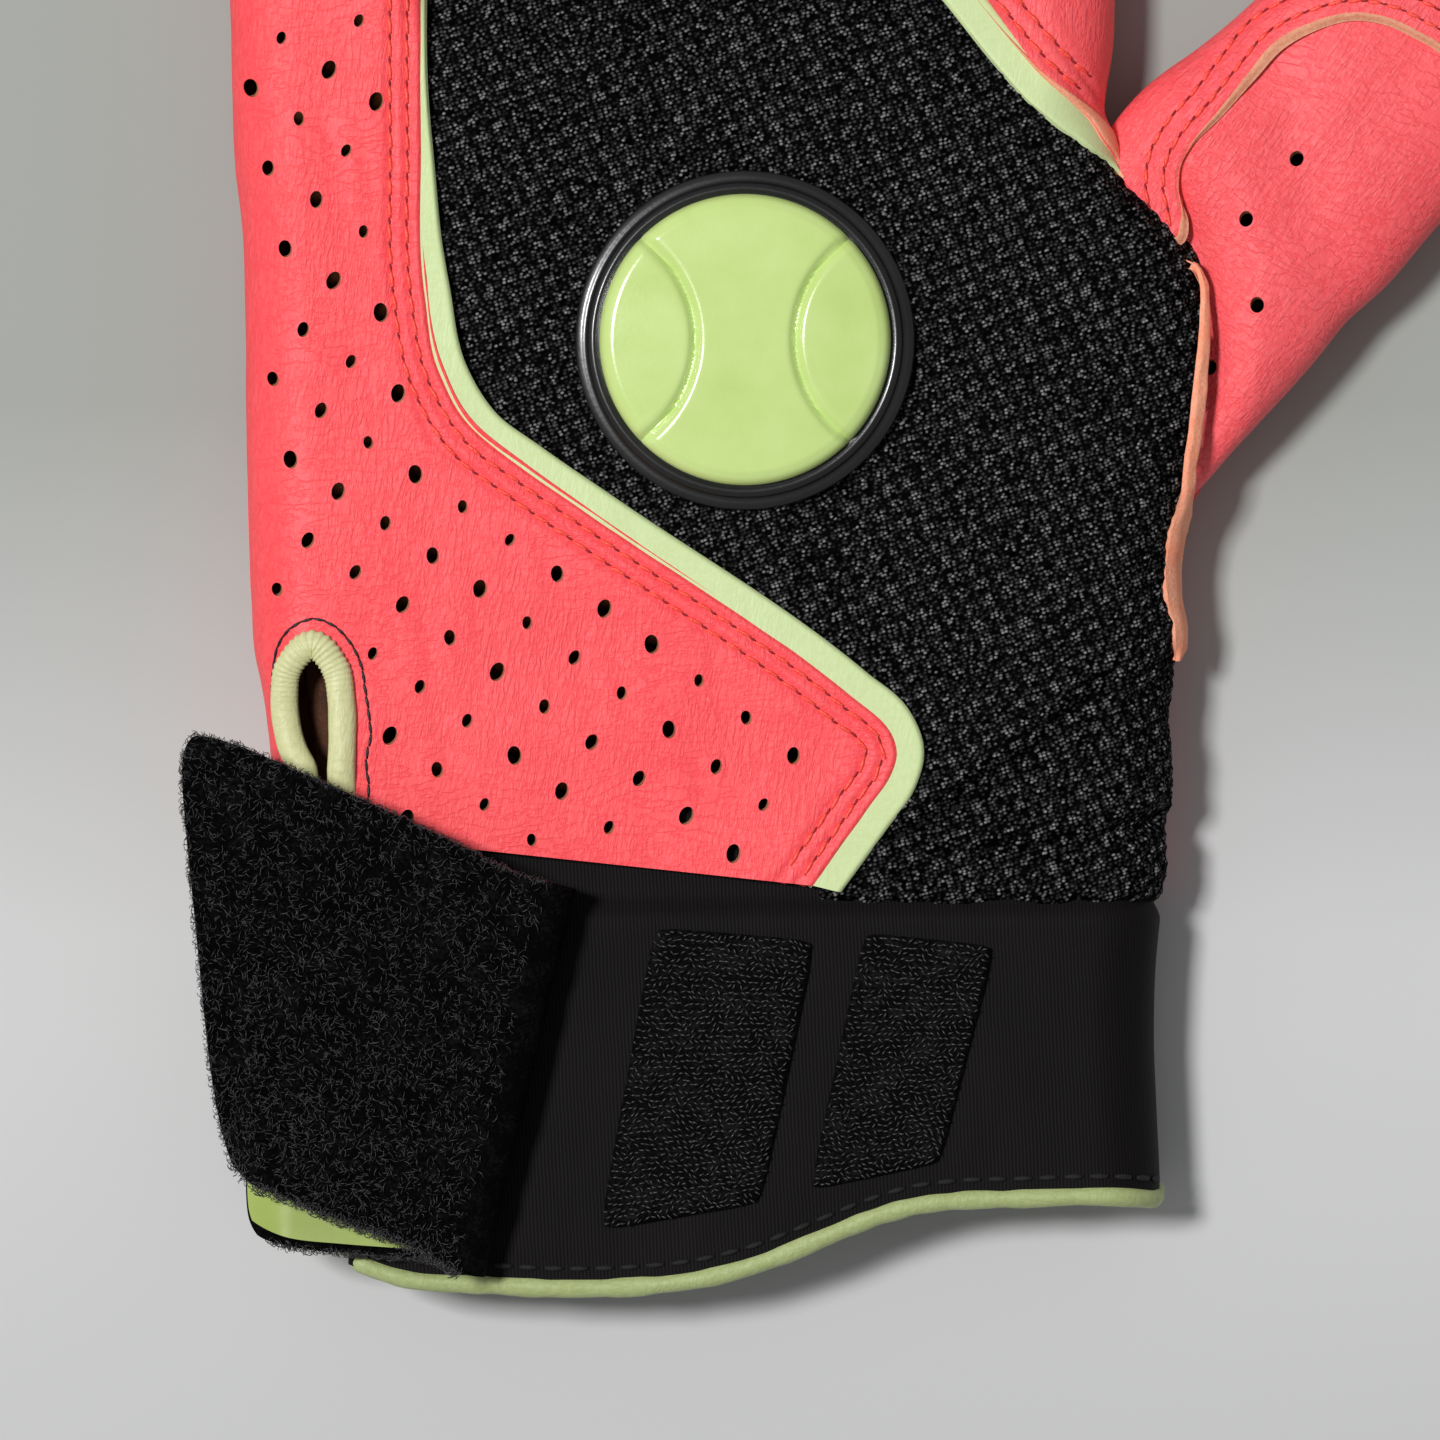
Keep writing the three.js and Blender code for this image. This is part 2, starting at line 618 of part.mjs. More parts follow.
function addFinger(finger, i) {
  const [left, right] = [knuckles[i], knuckles[i + 1]];
  const across = right.clone().sub(left);
  const digit = {
    origin: left.clone().lerp(right, 0.5),
    along: point(-across.y, across.x).normalize(),
    length: finger.length,
    rootWidth: across.length() - FINGER_SPACING,
    tipWidth: finger.tipWidth,
    rootHeight: HAND_HEIGHT,
    tipHeight: FINGER_TIP_HEIGHT,
    tipRound: FINGER_TIP_ROUND,
    edgeRadius: FINGER_EDGE_RADIUS,
  };
  const shell = digitTube(digit, SEAM_GAP / 2, 0).subtract(digitTube(digit, -1, LEATHER));
  const seamZ = (HAND_HEIGHT + FINGER_TIP_HEIGHT) / 4;
  const acrossUnit = across.normalize();
  const place = (s, u) => digit.origin.clone().addScaledVector(digit.along, s).addScaledVector(acrossUnit, u);
  const sideZone = (side, grow) => {
    const near = side * (SEAM_GAP / 2 - grow);
    const far = side * finger.span;
    const end = finger.length + FINGER_TIP_ROUND;
    const corners = [place(-FINGER_TIP_ROUND, near), place(-FINGER_TIP_ROUND, far), place(end, far), place(end, near)];
    const half = FOURCHETTE_WIDTH / 2 + grow;
    return prism(side > 0 ? corners : corners.reverse(), seamZ - half, seamZ + half);
  };
  let front = shell.intersect(slab(-REACH, seamZ - SEAM_GAP / 2));
  let back = shell.intersect(slab(seamZ + SEAM_GAP / 2, REACH));
  for (const [name, side] of Object.entries(finger.fourchettes)) {
    front = front.subtract(sideZone(side, SEAM_GAP));
    back = back.subtract(sideZone(side, SEAM_GAP));
    addPiece(name, largest(shell.intersect(sideZone(side, 0))), blackMesh());
  }
  addPiece(finger.name + "_front", largest(front), coralLeather());
  addPiece(finger.name + "_back", largest(back), coralLeather());
}
FINGERS.forEach(addFinger);

// Thumb: the vented back panel lies under an arched wrap that covers the tip

function addThumb() {
  const beyondRoot = thumbSide(SEAM_GAP / 2);
  const across = point(thumb.along.y, -thumb.along.x);
  const place = (s, u) => thumb.origin.clone().addScaledVector(thumb.along, s).addScaledVector(across, u);
  const shell = (outset) =>
    digitTube(thumb, -THUMB_INSIDE, -outset)
      .subtract(digitTube(thumb, -THUMB_INSIDE - 1, LEATHER))
      .subtract(bodyTube(LEATHER, mouthOverrun))
      .intersect(beyondRoot);
  const ventPanel = (grow) => {
    const nearSide = -THUMB_ROOT_WIDTH / 2 + VENT_PANEL_MARGIN - grow;
    const farSide = THUMB_ROOT_WIDTH;
    const archMiddle = 1.5;
    const apex = VENT_PANEL_LENGTH + grow;
    const spring = apex - VENT_ARCH_DEPTH;
    const corner = (s, u) => place(s, u);
    const start = corner(-THUMB_INSIDE, nearSide);
    const left = corner(spring, nearSide);
    const leftPull = corner(apex - VENT_ARCH_DEPTH / 4, nearSide);
    const top = corner(apex, archMiddle);
    const topPull = corner(apex, (archMiddle + nearSide) / 2);
    const farPull = corner(apex, (archMiddle + farSide) / 2);
    const right = corner(spring, farSide);
    const end = corner(-THUMB_INSIDE, farSide);
    const shape = new THREE.Shape();
    shape.moveTo(start.x, start.y);
    shape.lineTo(end.x, end.y);
    shape.lineTo(right.x, right.y);
    shape.quadraticCurveTo(farPull.x, farPull.y, top.x, top.y);
    shape.bezierCurveTo(topPull.x, topPull.y, leftPull.x, leftPull.y, left.x, left.y);
    shape.closePath();
    return prism(shape);
  };
  const seam = HAND_HEIGHT / 2;
  const above = slab(seam + SEAM_GAP / 2, REACH);
  const below = slab(-REACH, seam - SEAM_GAP / 2);
  addPiece("thumb_front", largest(shell(0).intersect(below)), coralLeather());
  addPiece("thumb_back", largest(shell(0).intersect(above).intersect(ventPanel(0))), coralLeather());
  addPiece(
    "thumb_wrap",
    largest(shell(WRAP_LIFT).intersect(above).subtract(ventPanel(SEAM_GAP))),
    coralLeather(),
  );
}
addThumb();

export default glove;
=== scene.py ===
# %% [markdown]
# # A left-hand batting glove, lying palm down
# The construction of the glove is already fixed: every sewn piece has a plain solid with its real size and place.
# This lesson dresses those solids. It makes leather with grain, stitches and punched holes, a stretch mesh, a
# ribbed cuff and a strap of loop pile. The pieces of the hand and the curls of the flap are fixed to the body that
# carries them; the fingers, the thumb and the strap's sheets are not.

# %% Load the frame
import json
import math

import bmesh
import bpy
import numpy as np
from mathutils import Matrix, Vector


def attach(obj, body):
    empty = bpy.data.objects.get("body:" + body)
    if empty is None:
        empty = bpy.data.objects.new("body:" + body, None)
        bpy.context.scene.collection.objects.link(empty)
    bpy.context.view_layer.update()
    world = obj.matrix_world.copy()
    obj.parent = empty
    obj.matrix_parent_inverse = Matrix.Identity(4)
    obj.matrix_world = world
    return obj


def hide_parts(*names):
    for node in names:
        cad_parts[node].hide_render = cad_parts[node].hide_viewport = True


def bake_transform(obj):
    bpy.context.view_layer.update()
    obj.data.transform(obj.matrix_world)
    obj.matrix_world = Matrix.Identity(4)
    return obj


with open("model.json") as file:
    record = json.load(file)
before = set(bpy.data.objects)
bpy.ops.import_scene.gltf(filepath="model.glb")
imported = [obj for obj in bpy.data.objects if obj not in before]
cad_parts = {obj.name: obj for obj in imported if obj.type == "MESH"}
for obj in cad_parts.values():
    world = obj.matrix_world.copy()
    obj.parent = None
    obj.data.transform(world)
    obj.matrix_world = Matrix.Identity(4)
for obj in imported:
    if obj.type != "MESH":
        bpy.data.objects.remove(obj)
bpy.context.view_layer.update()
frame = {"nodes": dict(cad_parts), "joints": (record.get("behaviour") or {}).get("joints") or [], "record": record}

MM = 0.001
print("solids to dress:", len(frame["nodes"]))

# %% [markdown]
# The camera comes first, because it decides how much detail each piece needs. The glove was photographed
# from straight above with a long lens, so heights hardly shift the outlines. The view is 144 mm wide at the
# glove's back, and it cuts off the fingertips.

# %% Camera straight above
VIEW_WIDTH = 144
VIEW_CENTRE = (0, -28)
VIEW_LEVEL = 15
LENS = 250

camera_data = bpy.data.cameras.new("overhead_camera")
camera_data.lens = LENS
camera_data.sensor_width = 36
camera = bpy.data.objects.new("overhead_camera", camera_data)
camera_height = VIEW_LEVEL + VIEW_WIDTH * LENS / camera_data.sensor_width
camera.location = Vector((*VIEW_CENTRE, camera_height)) * MM
bpy.context.scene.collection.objects.link(camera)
bpy.context.scene.camera = camera
print("camera is", round(camera_height), "mm above the table")

# %% [markdown]
# A studio for small goods is one large soft lamp and a bright room. The lamp stands at the upper left, so the
# thick edges throw a soft shadow to the right and below. The room's light is even, at a level where a colour
# renders about as it is written. The floor is plain and pale, with painted shade that makes it a little darker
# towards the fingers.

# %% Lamp, room and floor
LAMP_PLACE = (-0.92, 0.3, 1.95)
LAMP_SIZE = 0.36
LAMP_POWER = 41.0
ROOM_STRENGTH = 0.27

lamp_data = bpy.data.lights.new("soft_lamp", "AREA")
lamp_data.size = LAMP_SIZE
lamp_data.energy = LAMP_POWER
lamp = bpy.data.objects.new("soft_lamp", lamp_data)
lamp.location = LAMP_PLACE
lamp.rotation_euler = (-lamp.location).to_track_quat("-Z", "Y").to_euler()
bpy.context.scene.collection.objects.link(lamp)

room = bpy.data.worlds.new("room")
bpy.context.scene.world = room
room.use_nodes = True
room.node_tree.nodes["Background"].inputs["Color"].default_value = (0.97, 0.98, 1.0, 1)
room.node_tree.nodes["Background"].inputs["Strength"].default_value = ROOM_STRENGTH
bpy.context.scene.view_settings.view_transform = "Standard"
print("lamp of", LAMP_POWER, "W and a room at", ROOM_STRENGTH)

# %% [markdown]
# Materials are networks of nodes. Writing them as formulas is far shorter than wiring them by hand, so a
# small class wraps one socket and turns Python's operators into Math nodes. A second class holds one
# material, adds any other node by its type, and plugs the results into the shader.

# %% A socket that can do sums
class Wire:
    """One output of a node in a material, with arithmetic."""

    def __init__(self, finish, socket):
        self.finish = finish
        self.socket = socket

    def math(self, operation, *others):
        settings = {"operation": operation}
        return self.finish.node("ShaderNodeMath", settings, dict(enumerate((self, *others))))

    def __add__(self, other):
        return self.math("ADD", other)

    def __sub__(self, other):
        return self.math("SUBTRACT", other)

    def __mul__(self, other):
        return self.math("MULTIPLY", other)

    def __rsub__(self, other):
        return self.finish.node("ShaderNodeMath", {"operation": "SUBTRACT"}, {0: other, 1: self})

    __radd__ = __add__
    __rmul__ = __mul__

    def between(self, low, high):
        """0 below low, 1 above high and an even rise in between."""
        sockets = {"Value": self, "From Min": low, "From Max": high}
        return self.finish.node("ShaderNodeMapRange", {}, sockets)

    def out(self, name):
        return Wire(self.finish, self.socket.node.outputs[name])


class Finish:
    """One material, built from formulas."""

    def __init__(self, name, **shader):
        self.material = bpy.data.materials.new(name)
        self.material.use_nodes = True
        self.tree = self.material.node_tree
        self.shader = self.tree.nodes["Principled BSDF"]
        labels = {key: key.replace("_", " ").title().replace("Ior", "IOR") for key in shader}
        self.plug({labels[key]: value for key, value in shader.items()})

    def node(self, kind, settings, sockets):
        node = self.tree.nodes.new(kind)
        for key, value in settings.items():
            setattr(node, key, value)
        self.fill(node, sockets)
        return Wire(self, next(socket for socket in node.outputs if socket.enabled))

    def fill(self, node, sockets):
        for key, value in sockets.items():
            if isinstance(value, Wire):
                self.tree.links.new(value.socket, node.inputs[key])
            else:
                node.inputs[key].default_value = value

    def plug(self, sockets):
        self.fill(self.shader, sockets)

    def place(self, kind="Object", stretch=(1, 1, 1), turn=(0, 0, 0)):
        """Where a point lies: on the object, or on the flat pattern that it was cut from (UV).

        stretch draws the texture out along each axis, and turn then turns it.
        """
        source = self.node("ShaderNodeTexCoord", {}, {}).out(kind)
        sockets = {"Vector": source, "Scale": stretch, "Rotation": turn}
        return self.node("ShaderNodeMapping", {"vector_type": "TEXTURE"}, sockets)

    def noise(self, size, place, detail=3.0, roughness=0.55):
        sockets = {"Vector": place, "Scale": 1 / (size * MM), "Detail": detail, "Roughness": roughness}
        return self.node("ShaderNodeTexNoise", {}, sockets)

    def cells(self, size, place, loose=1.0, flat=False):
        """Distance from the middle of the nearest cell. A loose of 0 sets the cells on a grid."""
        sockets = {"Vector": place, "Scale": 1 / (size * MM), "Randomness": loose}
        settings = {"voronoi_dimensions": "2D"} if flat else {}
        return self.node("ShaderNodeTexVoronoi", settings, sockets)

    def mix(self, share, first, second):
        settings = {"data_type": "RGBA"}
        sockets = {"Factor": share, 6: (*first, 1) if isinstance(first, tuple) else first}
        sockets[7] = (*second, 1) if isinstance(second, tuple) else second
        mixed = self.node("ShaderNodeMix", settings, sockets)
        return Wire(self, mixed.socket.node.outputs[2])

    def bump(self, height, depth, strength=1.0):
        """Raise the surface by height (0 to 1) times depth in millimetres."""
        sockets = {"Height": height, "Distance": depth * MM, "Strength": strength}
        self.plug({"Normal": self.node("ShaderNodeBump", {}, sockets)})


def colour(red, green, blue):
    """A colour as a picture editor shows it, turned into the light values that a shader wants."""
    shares = (value / 255 for value in (red, green, blue))
    return tuple(s / 12.92 if s <= 0.04045 else ((s + 0.055) / 1.055) ** 2.4 for s in shares)


print("coral in light values:", [round(value, 3) for value in colour(255, 94, 100)])

# %% [markdown]
# The floor is the one thing that isn't part of the glove. It is a large plane with a soft change of grey along the
# hand, which is painted shade, and it catches the shadow.

# %% The floor
# Painted shade: the floor is darker towards the fingers and a little darker at the cuff's end.
FLOOR_SHADED_FINGER_END = colour(162, 166, 161)
FLOOR_WRIST = colour(205, 205, 205)
FLOOR_SHADED_CUFF_END = colour(195, 195, 195)
FLOOR_HALF = 1.2

floor_paint = Finish("floor_paint", roughness=0.9, specular_ior_level=0.1)
floor_place = floor_paint.place()
floor_along = floor_paint.node("ShaderNodeSeparateXYZ", {}, {"Vector": floor_place}).out("Y")
floor_tone = floor_paint.mix(floor_along.between(0.004, -0.05), FLOOR_SHADED_FINGER_END, FLOOR_WRIST)
floor_tone = floor_paint.mix(floor_along.between(-0.06, -0.11), floor_tone, FLOOR_SHADED_CUFF_END)
floor_paint.plug({"Base Color": floor_tone})

draft = bmesh.new()
bmesh.ops.create_grid(draft, x_segments=4, y_segments=4, size=FLOOR_HALF)
floor_mesh = bpy.data.meshes.new("floor")
draft.to_mesh(floor_mesh)
draft.free()
floor = bpy.data.objects.new("floor", floor_mesh)
floor_mesh.materials.append(floor_paint.material)
bpy.context.scene.collection.objects.link(floor)

# %% [markdown]
# ** Coral leather.** Glove leather has a fine grain of tiny cells, drawn out into creases where the hide was stretched. The creases are painted darker and redder than the cells, as painted shade, and the domes of the cells are painted a little paler, as painted highlights. A noise that is squeezed along one direction gives the creases, cells give the grain, and the same two heights drive the bump, so colour and relief agree.

# %% Coral leather
def leather(name, light, deep, relief=0.06, roughness=0.5, lean=-0.16):
    finish = Finish(name, specular_ior_level=0.35)
    place = finish.place()
    lines = finish.noise(0.75, finish.place(stretch=(1, 4.5, 1), turn=(0, 0, lean)), 3.0, 0.6)
    cross_lines = finish.noise(1.1, finish.place(stretch=(1, 3, 1), turn=(0, 0, lean - 1.3)), 3.0, 0.55)
    slack = finish.noise(13, place, 2.0).between(0.38, 0.62)
    fine = finish.noise(0.2, place, 2.0)
    broad = finish.noise(17, place, 2.0)
    pebbles = 1 - finish.cells(0.62, place).between(0.1, 0.6)
    fold = (lines - 0.5).math("ABSOLUTE").between(0.0, 0.12)
    cross_fold = (cross_lines - 0.5).math("ABSOLUTE").between(0.0, 0.06)
    height = fold * (0.2 + slack * 0.7) + cross_fold * (0.6 - slack * 0.4) + fine * 0.35 + pebbles * 0.35
    # Painted shade in the creases and painted highlights on the pebble domes; broad and fine are random tone.
    shade = fold * (0.1 + slack * 0.3) + cross_fold * (0.3 - slack * 0.2)
    shade = shade + broad * 0.3 + fine * 0.3 + pebbles * 0.15
    finish.plug({"Base Color": finish.mix(shade.between(0.2, 0.85), deep, light)})
    finish.plug({"Roughness": roughness + 0.18 * (fine - 0.5)})
    finish.bump(height, relief)
    return finish


coral_leather = leather("coral_leather", colour(255, 90, 95), colour(247, 66, 74))
# The thumb and index copies are painted lighter than the coral, to offset the shade on their slopes.
thumb_leather = leather("thumb_leather", colour(255, 103, 108), colour(250, 78, 85), 0.09, lean=-0.65)
index_coral = leather("index_coral", colour(255, 101, 105), colour(250, 78, 84))
lime_leather = leather("lime_leather", colour(208, 225, 168), colour(202, 218, 157), 0.015, 0.42)
lime_binding = leather("lime_binding", colour(214, 214, 164), colour(198, 198, 144), 0.03, 0.45)
# The hem's lime is painted darker: painted shade where the binding turns down under the cuff.
lime_hem = leather("lime_hem", colour(174, 186, 130), colour(156, 168, 106), 0.03, 0.5)
print("leathers:", coral_leather.material.name, lime_leather.material.name)

# %% [markdown]
# ** Raw leather edge.** Where leather is cut, the undyed fibres of the hide show: a matt salmon or tan band, a little fuzzy. The walls of punched holes and the suede inside of the glove are the same stuff in darker tones. The sheet under the slit is darker still: painted shade for the shaded inside of the glove.

# %% Raw edges and suede
def raw_fibres(name, light, deep):
    finish = Finish(name, roughness=0.85)
    place = finish.place()
    fibres = finish.noise(0.35, place, 4.0, 0.7)
    patches = finish.noise(3.0, place)
    shade = fibres * 0.6 + patches * 0.4
    finish.plug({"Base Color": finish.mix(shade.between(0.35, 0.65), deep, light)})
    finish.bump(fibres, 0.12)
    return finish


salmon_edge = raw_fibres("salmon_edge", colour(255, 184, 150), colour(250, 146, 110))
tan_edge = raw_fibres("tan_edge", colour(240, 172, 138), colour(208, 132, 100))
hole_wall = raw_fibres("hole_wall", colour(214, 140, 102), colour(156, 88, 62))
suede_inside = raw_fibres("suede_inside", colour(150, 84, 44), colour(112, 56, 26))
# Painted shade: the dark sheet that lies under the slit.
slit_shade_suede = raw_fibres("slit_shade_suede", colour(96, 52, 24), colour(50, 24, 10))
print("raw finishes:", salmon_edge.material.name, tan_edge.material.name, suede_inside.material.name)

# %% [markdown]
# ** Stretch mesh.** The back of the hand is a black knit of textured yarn. Seen closely it is a field of small knops with bright specks where the yarn turns towards the lamp. Rows of knops come from two crossed waves on the flat pattern and the yarn from fine cells. The specks are painted highlights: a few random yarn cells are painted pale grey, brightest on the knop tops.

# %% Black stretch mesh
def waves(finish, along, pitch):
    """A smooth wave from 0 to 1 that repeats every pitch millimetres along one direction of the pattern."""
    return (along * (math.tau / (pitch * MM))).math("SINE") * 0.5 + 0.5


def stretch_mesh(name):
    finish = Finish(name, specular_ior_level=0.02)
    pattern = finish.place("UV")
    flat = finish.node("ShaderNodeSeparateXYZ", {}, {"Vector": pattern})
    across, along = flat.out("X"), flat.out("Y")
    knops = waves(finish, across + along * 0.5, 2.3) * waves(finish, along - across * 0.5, 2.0)
    yarn = finish.cells(0.36, finish.place("UV", stretch=(1.25, 1, 1), turn=(0, 0, 0.3)), 0.75, flat=True)
    turns = yarn.out("Color").between(0.2, 0.8)
    patches = finish.noise(2.6, pattern, 3.0).between(0.3, 0.7)
    painted_glint = (1 - yarn.between(0.1, 0.5)) * turns
    # Painted highlights: the glints are painted pale, and brightest on the knop tops.
    tone = painted_glint * (0.04 + knops.between(0.03, 0.5) * 0.62 + patches * 0.16)
    finish.plug({"Base Color": finish.mix(tone, colour(2, 2, 2), colour(164, 161, 163))})
    finish.plug({"Roughness": 0.7 - 0.25 * painted_glint})
    finish.bump(knops * 0.8 + painted_glint * 0.12, 0.35)
    return finish


black_mesh = stretch_mesh("black_mesh")
print("mesh:", black_mesh.material.name)

# %% [markdown]
# **Ribbed knit.** The cuff is a smooth stretch knit with fine ribs that run along the arm, about three to
# the millimetre. The ribs lie on the flat pattern, so they follow the cuff round its edges.

# %% Black ribbed knit
def ribbed_knit(name):
    finish = Finish(name, specular_ior_level=0.1)
    pattern = finish.place("UV")
    flat = finish.node("ShaderNodeSeparateXYZ", {}, {"Vector": pattern})
    wander = finish.noise(4.0, pattern) * (0.25 * MM)
    ribs = waves(finish, flat.out("X") + flat.out("Y") * 0.05 + wander, 0.36)
    loops = finish.noise(0.3, finish.place("UV", stretch=(1, 0.4, 1)), 2.0)
    broad = finish.noise(12, pattern)
    tone = ribs * 0.45 + loops * 0.35 + broad * 0.3
    finish.plug({"Base Color": finish.mix(tone.between(0.3, 0.9), colour(9, 8, 8), colour(24, 20, 20))})
    finish.plug({"Roughness": 0.75 - 0.12 * ribs})
    finish.bump(ribs * 0.6 + loops * 0.4, 0.04)
    return finish


black_knit = ribbed_knit("black_knit")
print("knit:", black_knit.material.name)

# %% [markdown]
# ** Loop pile and hook tape.** The strap closes with a brushed loop pile on one side and rows of nylon hooks on the other. Both are black nylon: the ground is almost black, and the single fibres, which are modelled, are glossier. The fibres' pale grey flecks are painted glints.

# %% Pile, hooks, threads and mouldings
def nylon_ground(name, dark, pale, size, depth):
    finish = Finish(name, specular_ior_level=0.05)
    place = finish.place()
    tufts = finish.noise(size, place, 4.0, 0.65)
    clumps = finish.noise(size * 6, place, 2.0)
    tone = (tufts * 0.65 + clumps * 0.35).between(0.48, 0.75)
    finish.plug({"Base Color": finish.mix(tone, dark, pale)})
    finish.plug({"Roughness": 0.85 - 0.25 * tone})
    finish.bump(tufts, depth)
    return finish


def thread(name, light, deep, roughness=0.45):
    finish = Finish(name)
    place = finish.place()
    twist = finish.noise(0.2, place, 2.0)
    finish.plug({"Base Color": finish.mix(twist.between(0.35, 0.65), deep, light)})
    finish.plug({"Roughness": roughness + 0.2 * (twist - 0.5)})
    finish.bump(twist, 0.06)
    return finish


def moulding(name, light, deep, roughness, coat):
    finish = Finish(name, coat_weight=coat, coat_roughness=0.12)
    place = finish.place()
    skin = finish.noise(0.5, place, 3.0)
    cloud = finish.noise(9, place)
    finish.plug({"Base Color": finish.mix(cloud.between(0.3, 0.7), deep, light)})
    finish.plug({"Roughness": roughness + 0.1 * (skin - 0.5)})
    finish.bump(skin, 0.015)
    return finish


loop_pile = nylon_ground("loop_pile", colour(1, 1, 1), colour(26, 24, 25), 0.36, 0.3)
hook_tape = nylon_ground("hook_tape", colour(4, 4, 4), colour(34, 33, 34), 0.4, 0.1)
# The nylon fibres' pale grey flecks are painted glints.
glinting_nylon_fibre = thread("glinting_nylon_fibre", colour(70, 68, 72), colour(3, 3, 4), 0.35)
coral_thread = thread("coral_thread", colour(255, 98, 78), colour(240, 54, 48))
# The needle holes are dark spots of painted shade.
needle_hole_shade = thread("needle_hole_shade", colour(180, 28, 32), colour(118, 10, 16), 0.8)
black_thread = thread("black_thread", colour(24, 25, 30), colour(8, 8, 11))
cuff_thread = thread("cuff_thread", colour(15, 15, 16), colour(5, 5, 6), 0.8)
black_moulding = moulding("black_moulding", colour(26, 26, 28), colour(14, 14, 15), 0.32, 0.3)
lime_moulding = moulding("lime_moulding", colour(206, 229, 148), colour(192, 216, 126), 0.22, 0.6)
# The strap's lime is painted darker and more saturated, as painted shade under the flap.
shaded_lime_lining = moulding("shaded_lime_lining", colour(166, 184, 98), colour(146, 163, 78), 0.5, 0.05)
print("finishes so far:", len(bpy.data.materials))

# %% [markdown]
# Sewn goods start as flat patterns. So each panel here is a flat grid that is first laid out on the pattern
# of the hand, in millimetres, and then rolled over the hand's form. The helpers below draw smooth curves
# through a few chosen points, and make gentle random ripples that come out the same in every run.

# %% Curves and ripples
def smooth(share):
    share = np.clip(share, 0, 1)
    return share * share * (3 - 2 * share)


def bell(distance, width):
    return np.exp(-((distance / width) ** 2))


def through(points):
    """A smooth curve through (position, value) points, as a function of the position."""
    at, value = np.array(points, float).T
    slope = np.gradient(value, at)

    def curve(position):
        position = np.clip(position, at[0], at[-1])
        i = np.clip(np.searchsorted(at, position) - 1, 0, len(at) - 2)
        step = at[i + 1] - at[i]
        t = (position - at[i]) / step
        start = (1 + 2 * t) * (1 - t) ** 2 * value[i] + t * (1 - t) ** 2 * step * slope[i]
        end = t * t * (3 - 2 * t) * value[i + 1] + t * t * (t - 1) * step * slope[i + 1]
        return start + end

    return curve


def unit(vectors):
    return vectors / np.linalg.norm(vectors, axis=1)[:, None]


def run_along(path):
    """How far along a path each of its points lies."""
    return np.concatenate([[0], np.cumsum(np.linalg.norm(np.diff(path, axis=0), axis=1))])


def trace(points, count):
    """Points at even steps along a smooth curve through the given ones."""
    points = np.array(points, float)
    chord = run_along(points)
    share = np.linspace(0, chord[-1], count)
    return np.stack([through(np.stack([chord, column], 1))(share) for column in points.T], 1)


def right_hand(path):
    """Unit vectors across a flat path, to the right of its travel."""
    along = unit(np.gradient(path, axis=0))
    return np.stack([along[:, 1], -along[:, 0]], 1)


def ripple(x, y, size, seed=0):
    """Smooth random heights from -1 to 1, on a lattice of the given size."""
    x, y = np.asarray(x) / size, np.asarray(y) / size
    column, row = np.floor(x).astype(np.int64), np.floor(y).astype(np.int64)
    across, along = smooth(x - column), smooth(y - row)

    def corner(i, j):
        mixed = (column + i) * 374761393 + (row + j) * 668265263 + seed * 974711
        mixed = (mixed ^ (mixed >> 13)) * 1274126177
        return ((mixed ^ (mixed >> 16)) & 0xFFFF) / 0x7FFF - 1

    near = corner(0, 0) * (1 - across) + corner(1, 0) * across
    far = corner(0, 1) * (1 - across) + corner(1, 1) * across
    return near * (1 - along) + far * along


def from_line(x, y, points):
    """Distance from each place to a bent line."""
    nearest = np.full(np.shape(x), np.inf)
    for (ax, ay), (bx, by) in zip(points[:-1], points[1:]):
        share = ((x - ax) * (bx - ax) + (y - ay) * (by - ay)) / ((bx - ax) ** 2 + (by - ay) ** 2)
        share = np.clip(share, 0, 1)
        nearest = np.minimum(nearest, np.hypot(x - ax - share * (bx - ax), y - ay - share * (by - ay)))
    return nearest


print("ripple test:", np.round(ripple(np.arange(3) * 2.5, 0.5, 4), 2))

# %% [markdown]
# A panel is one grid. Its plan says where each grid point lies on the flat pattern and how far it stands
# off the form, and the form rolls the pattern up. The pattern's millimetres also become the UV map, so ribs
# and weave follow the cloth. A Solidify modifier gives the sheet its thickness and is then settled into the
# mesh, and edges that turn sharply are marked, so that the cut edges stay crisp while the faces are smooth.

# %% Panels, pipings and rows of small copies
SHARP_ANGLE = math.radians(48)


def add_object(name, draft, *finishes):
    mesh = bpy.data.meshes.new(name)
    draft.to_mesh(mesh)
    draft.free()
    for finish in finishes:
        mesh.materials.append(finish.material)
    mesh.polygons.foreach_set("use_smooth", [True] * len(mesh.polygons))
    piece = bpy.data.objects.new(name, mesh)
    bpy.context.scene.collection.objects.link(piece)
    return piece


def read_points(mesh):
    points = np.empty(len(mesh.vertices) * 3)
    mesh.vertices.foreach_get("co", points)
    return points.reshape(-1, 3)


def write_points(mesh, points):
    """Move the vertices of a mesh to points that are given in millimetres."""
    mesh.vertices.foreach_set("co", (points * MM).ravel())
    mesh.update()


def settle(piece):
    """Turn a piece's modifiers into mesh, and mark the edges that turn by more than the sharp angle."""
    bpy.context.view_layer.update()
    made = bpy.data.meshes.new_from_object(piece.evaluated_get(bpy.context.evaluated_depsgraph_get()))
    piece.modifiers.clear()
    rough, piece.data = piece.data, made
    bpy.data.meshes.remove(rough)
    made.name = piece.name
    made.set_sharp_from_angle(angle=SHARP_ANGLE)
    return piece


def thicken(piece, thickness, inside=None):
    """Give a sheet its thickness, inwards from the face that shows. The inside may have its own finish."""
    wall = piece.modifiers.new("thickness", "SOLIDIFY")
    wall.thickness = thickness * MM
    wall.offset = -1
    wall.use_quality_normals = True
    if inside:
        piece.data.materials.append(inside.material)
        wall.material_offset = 1
    return settle(piece)


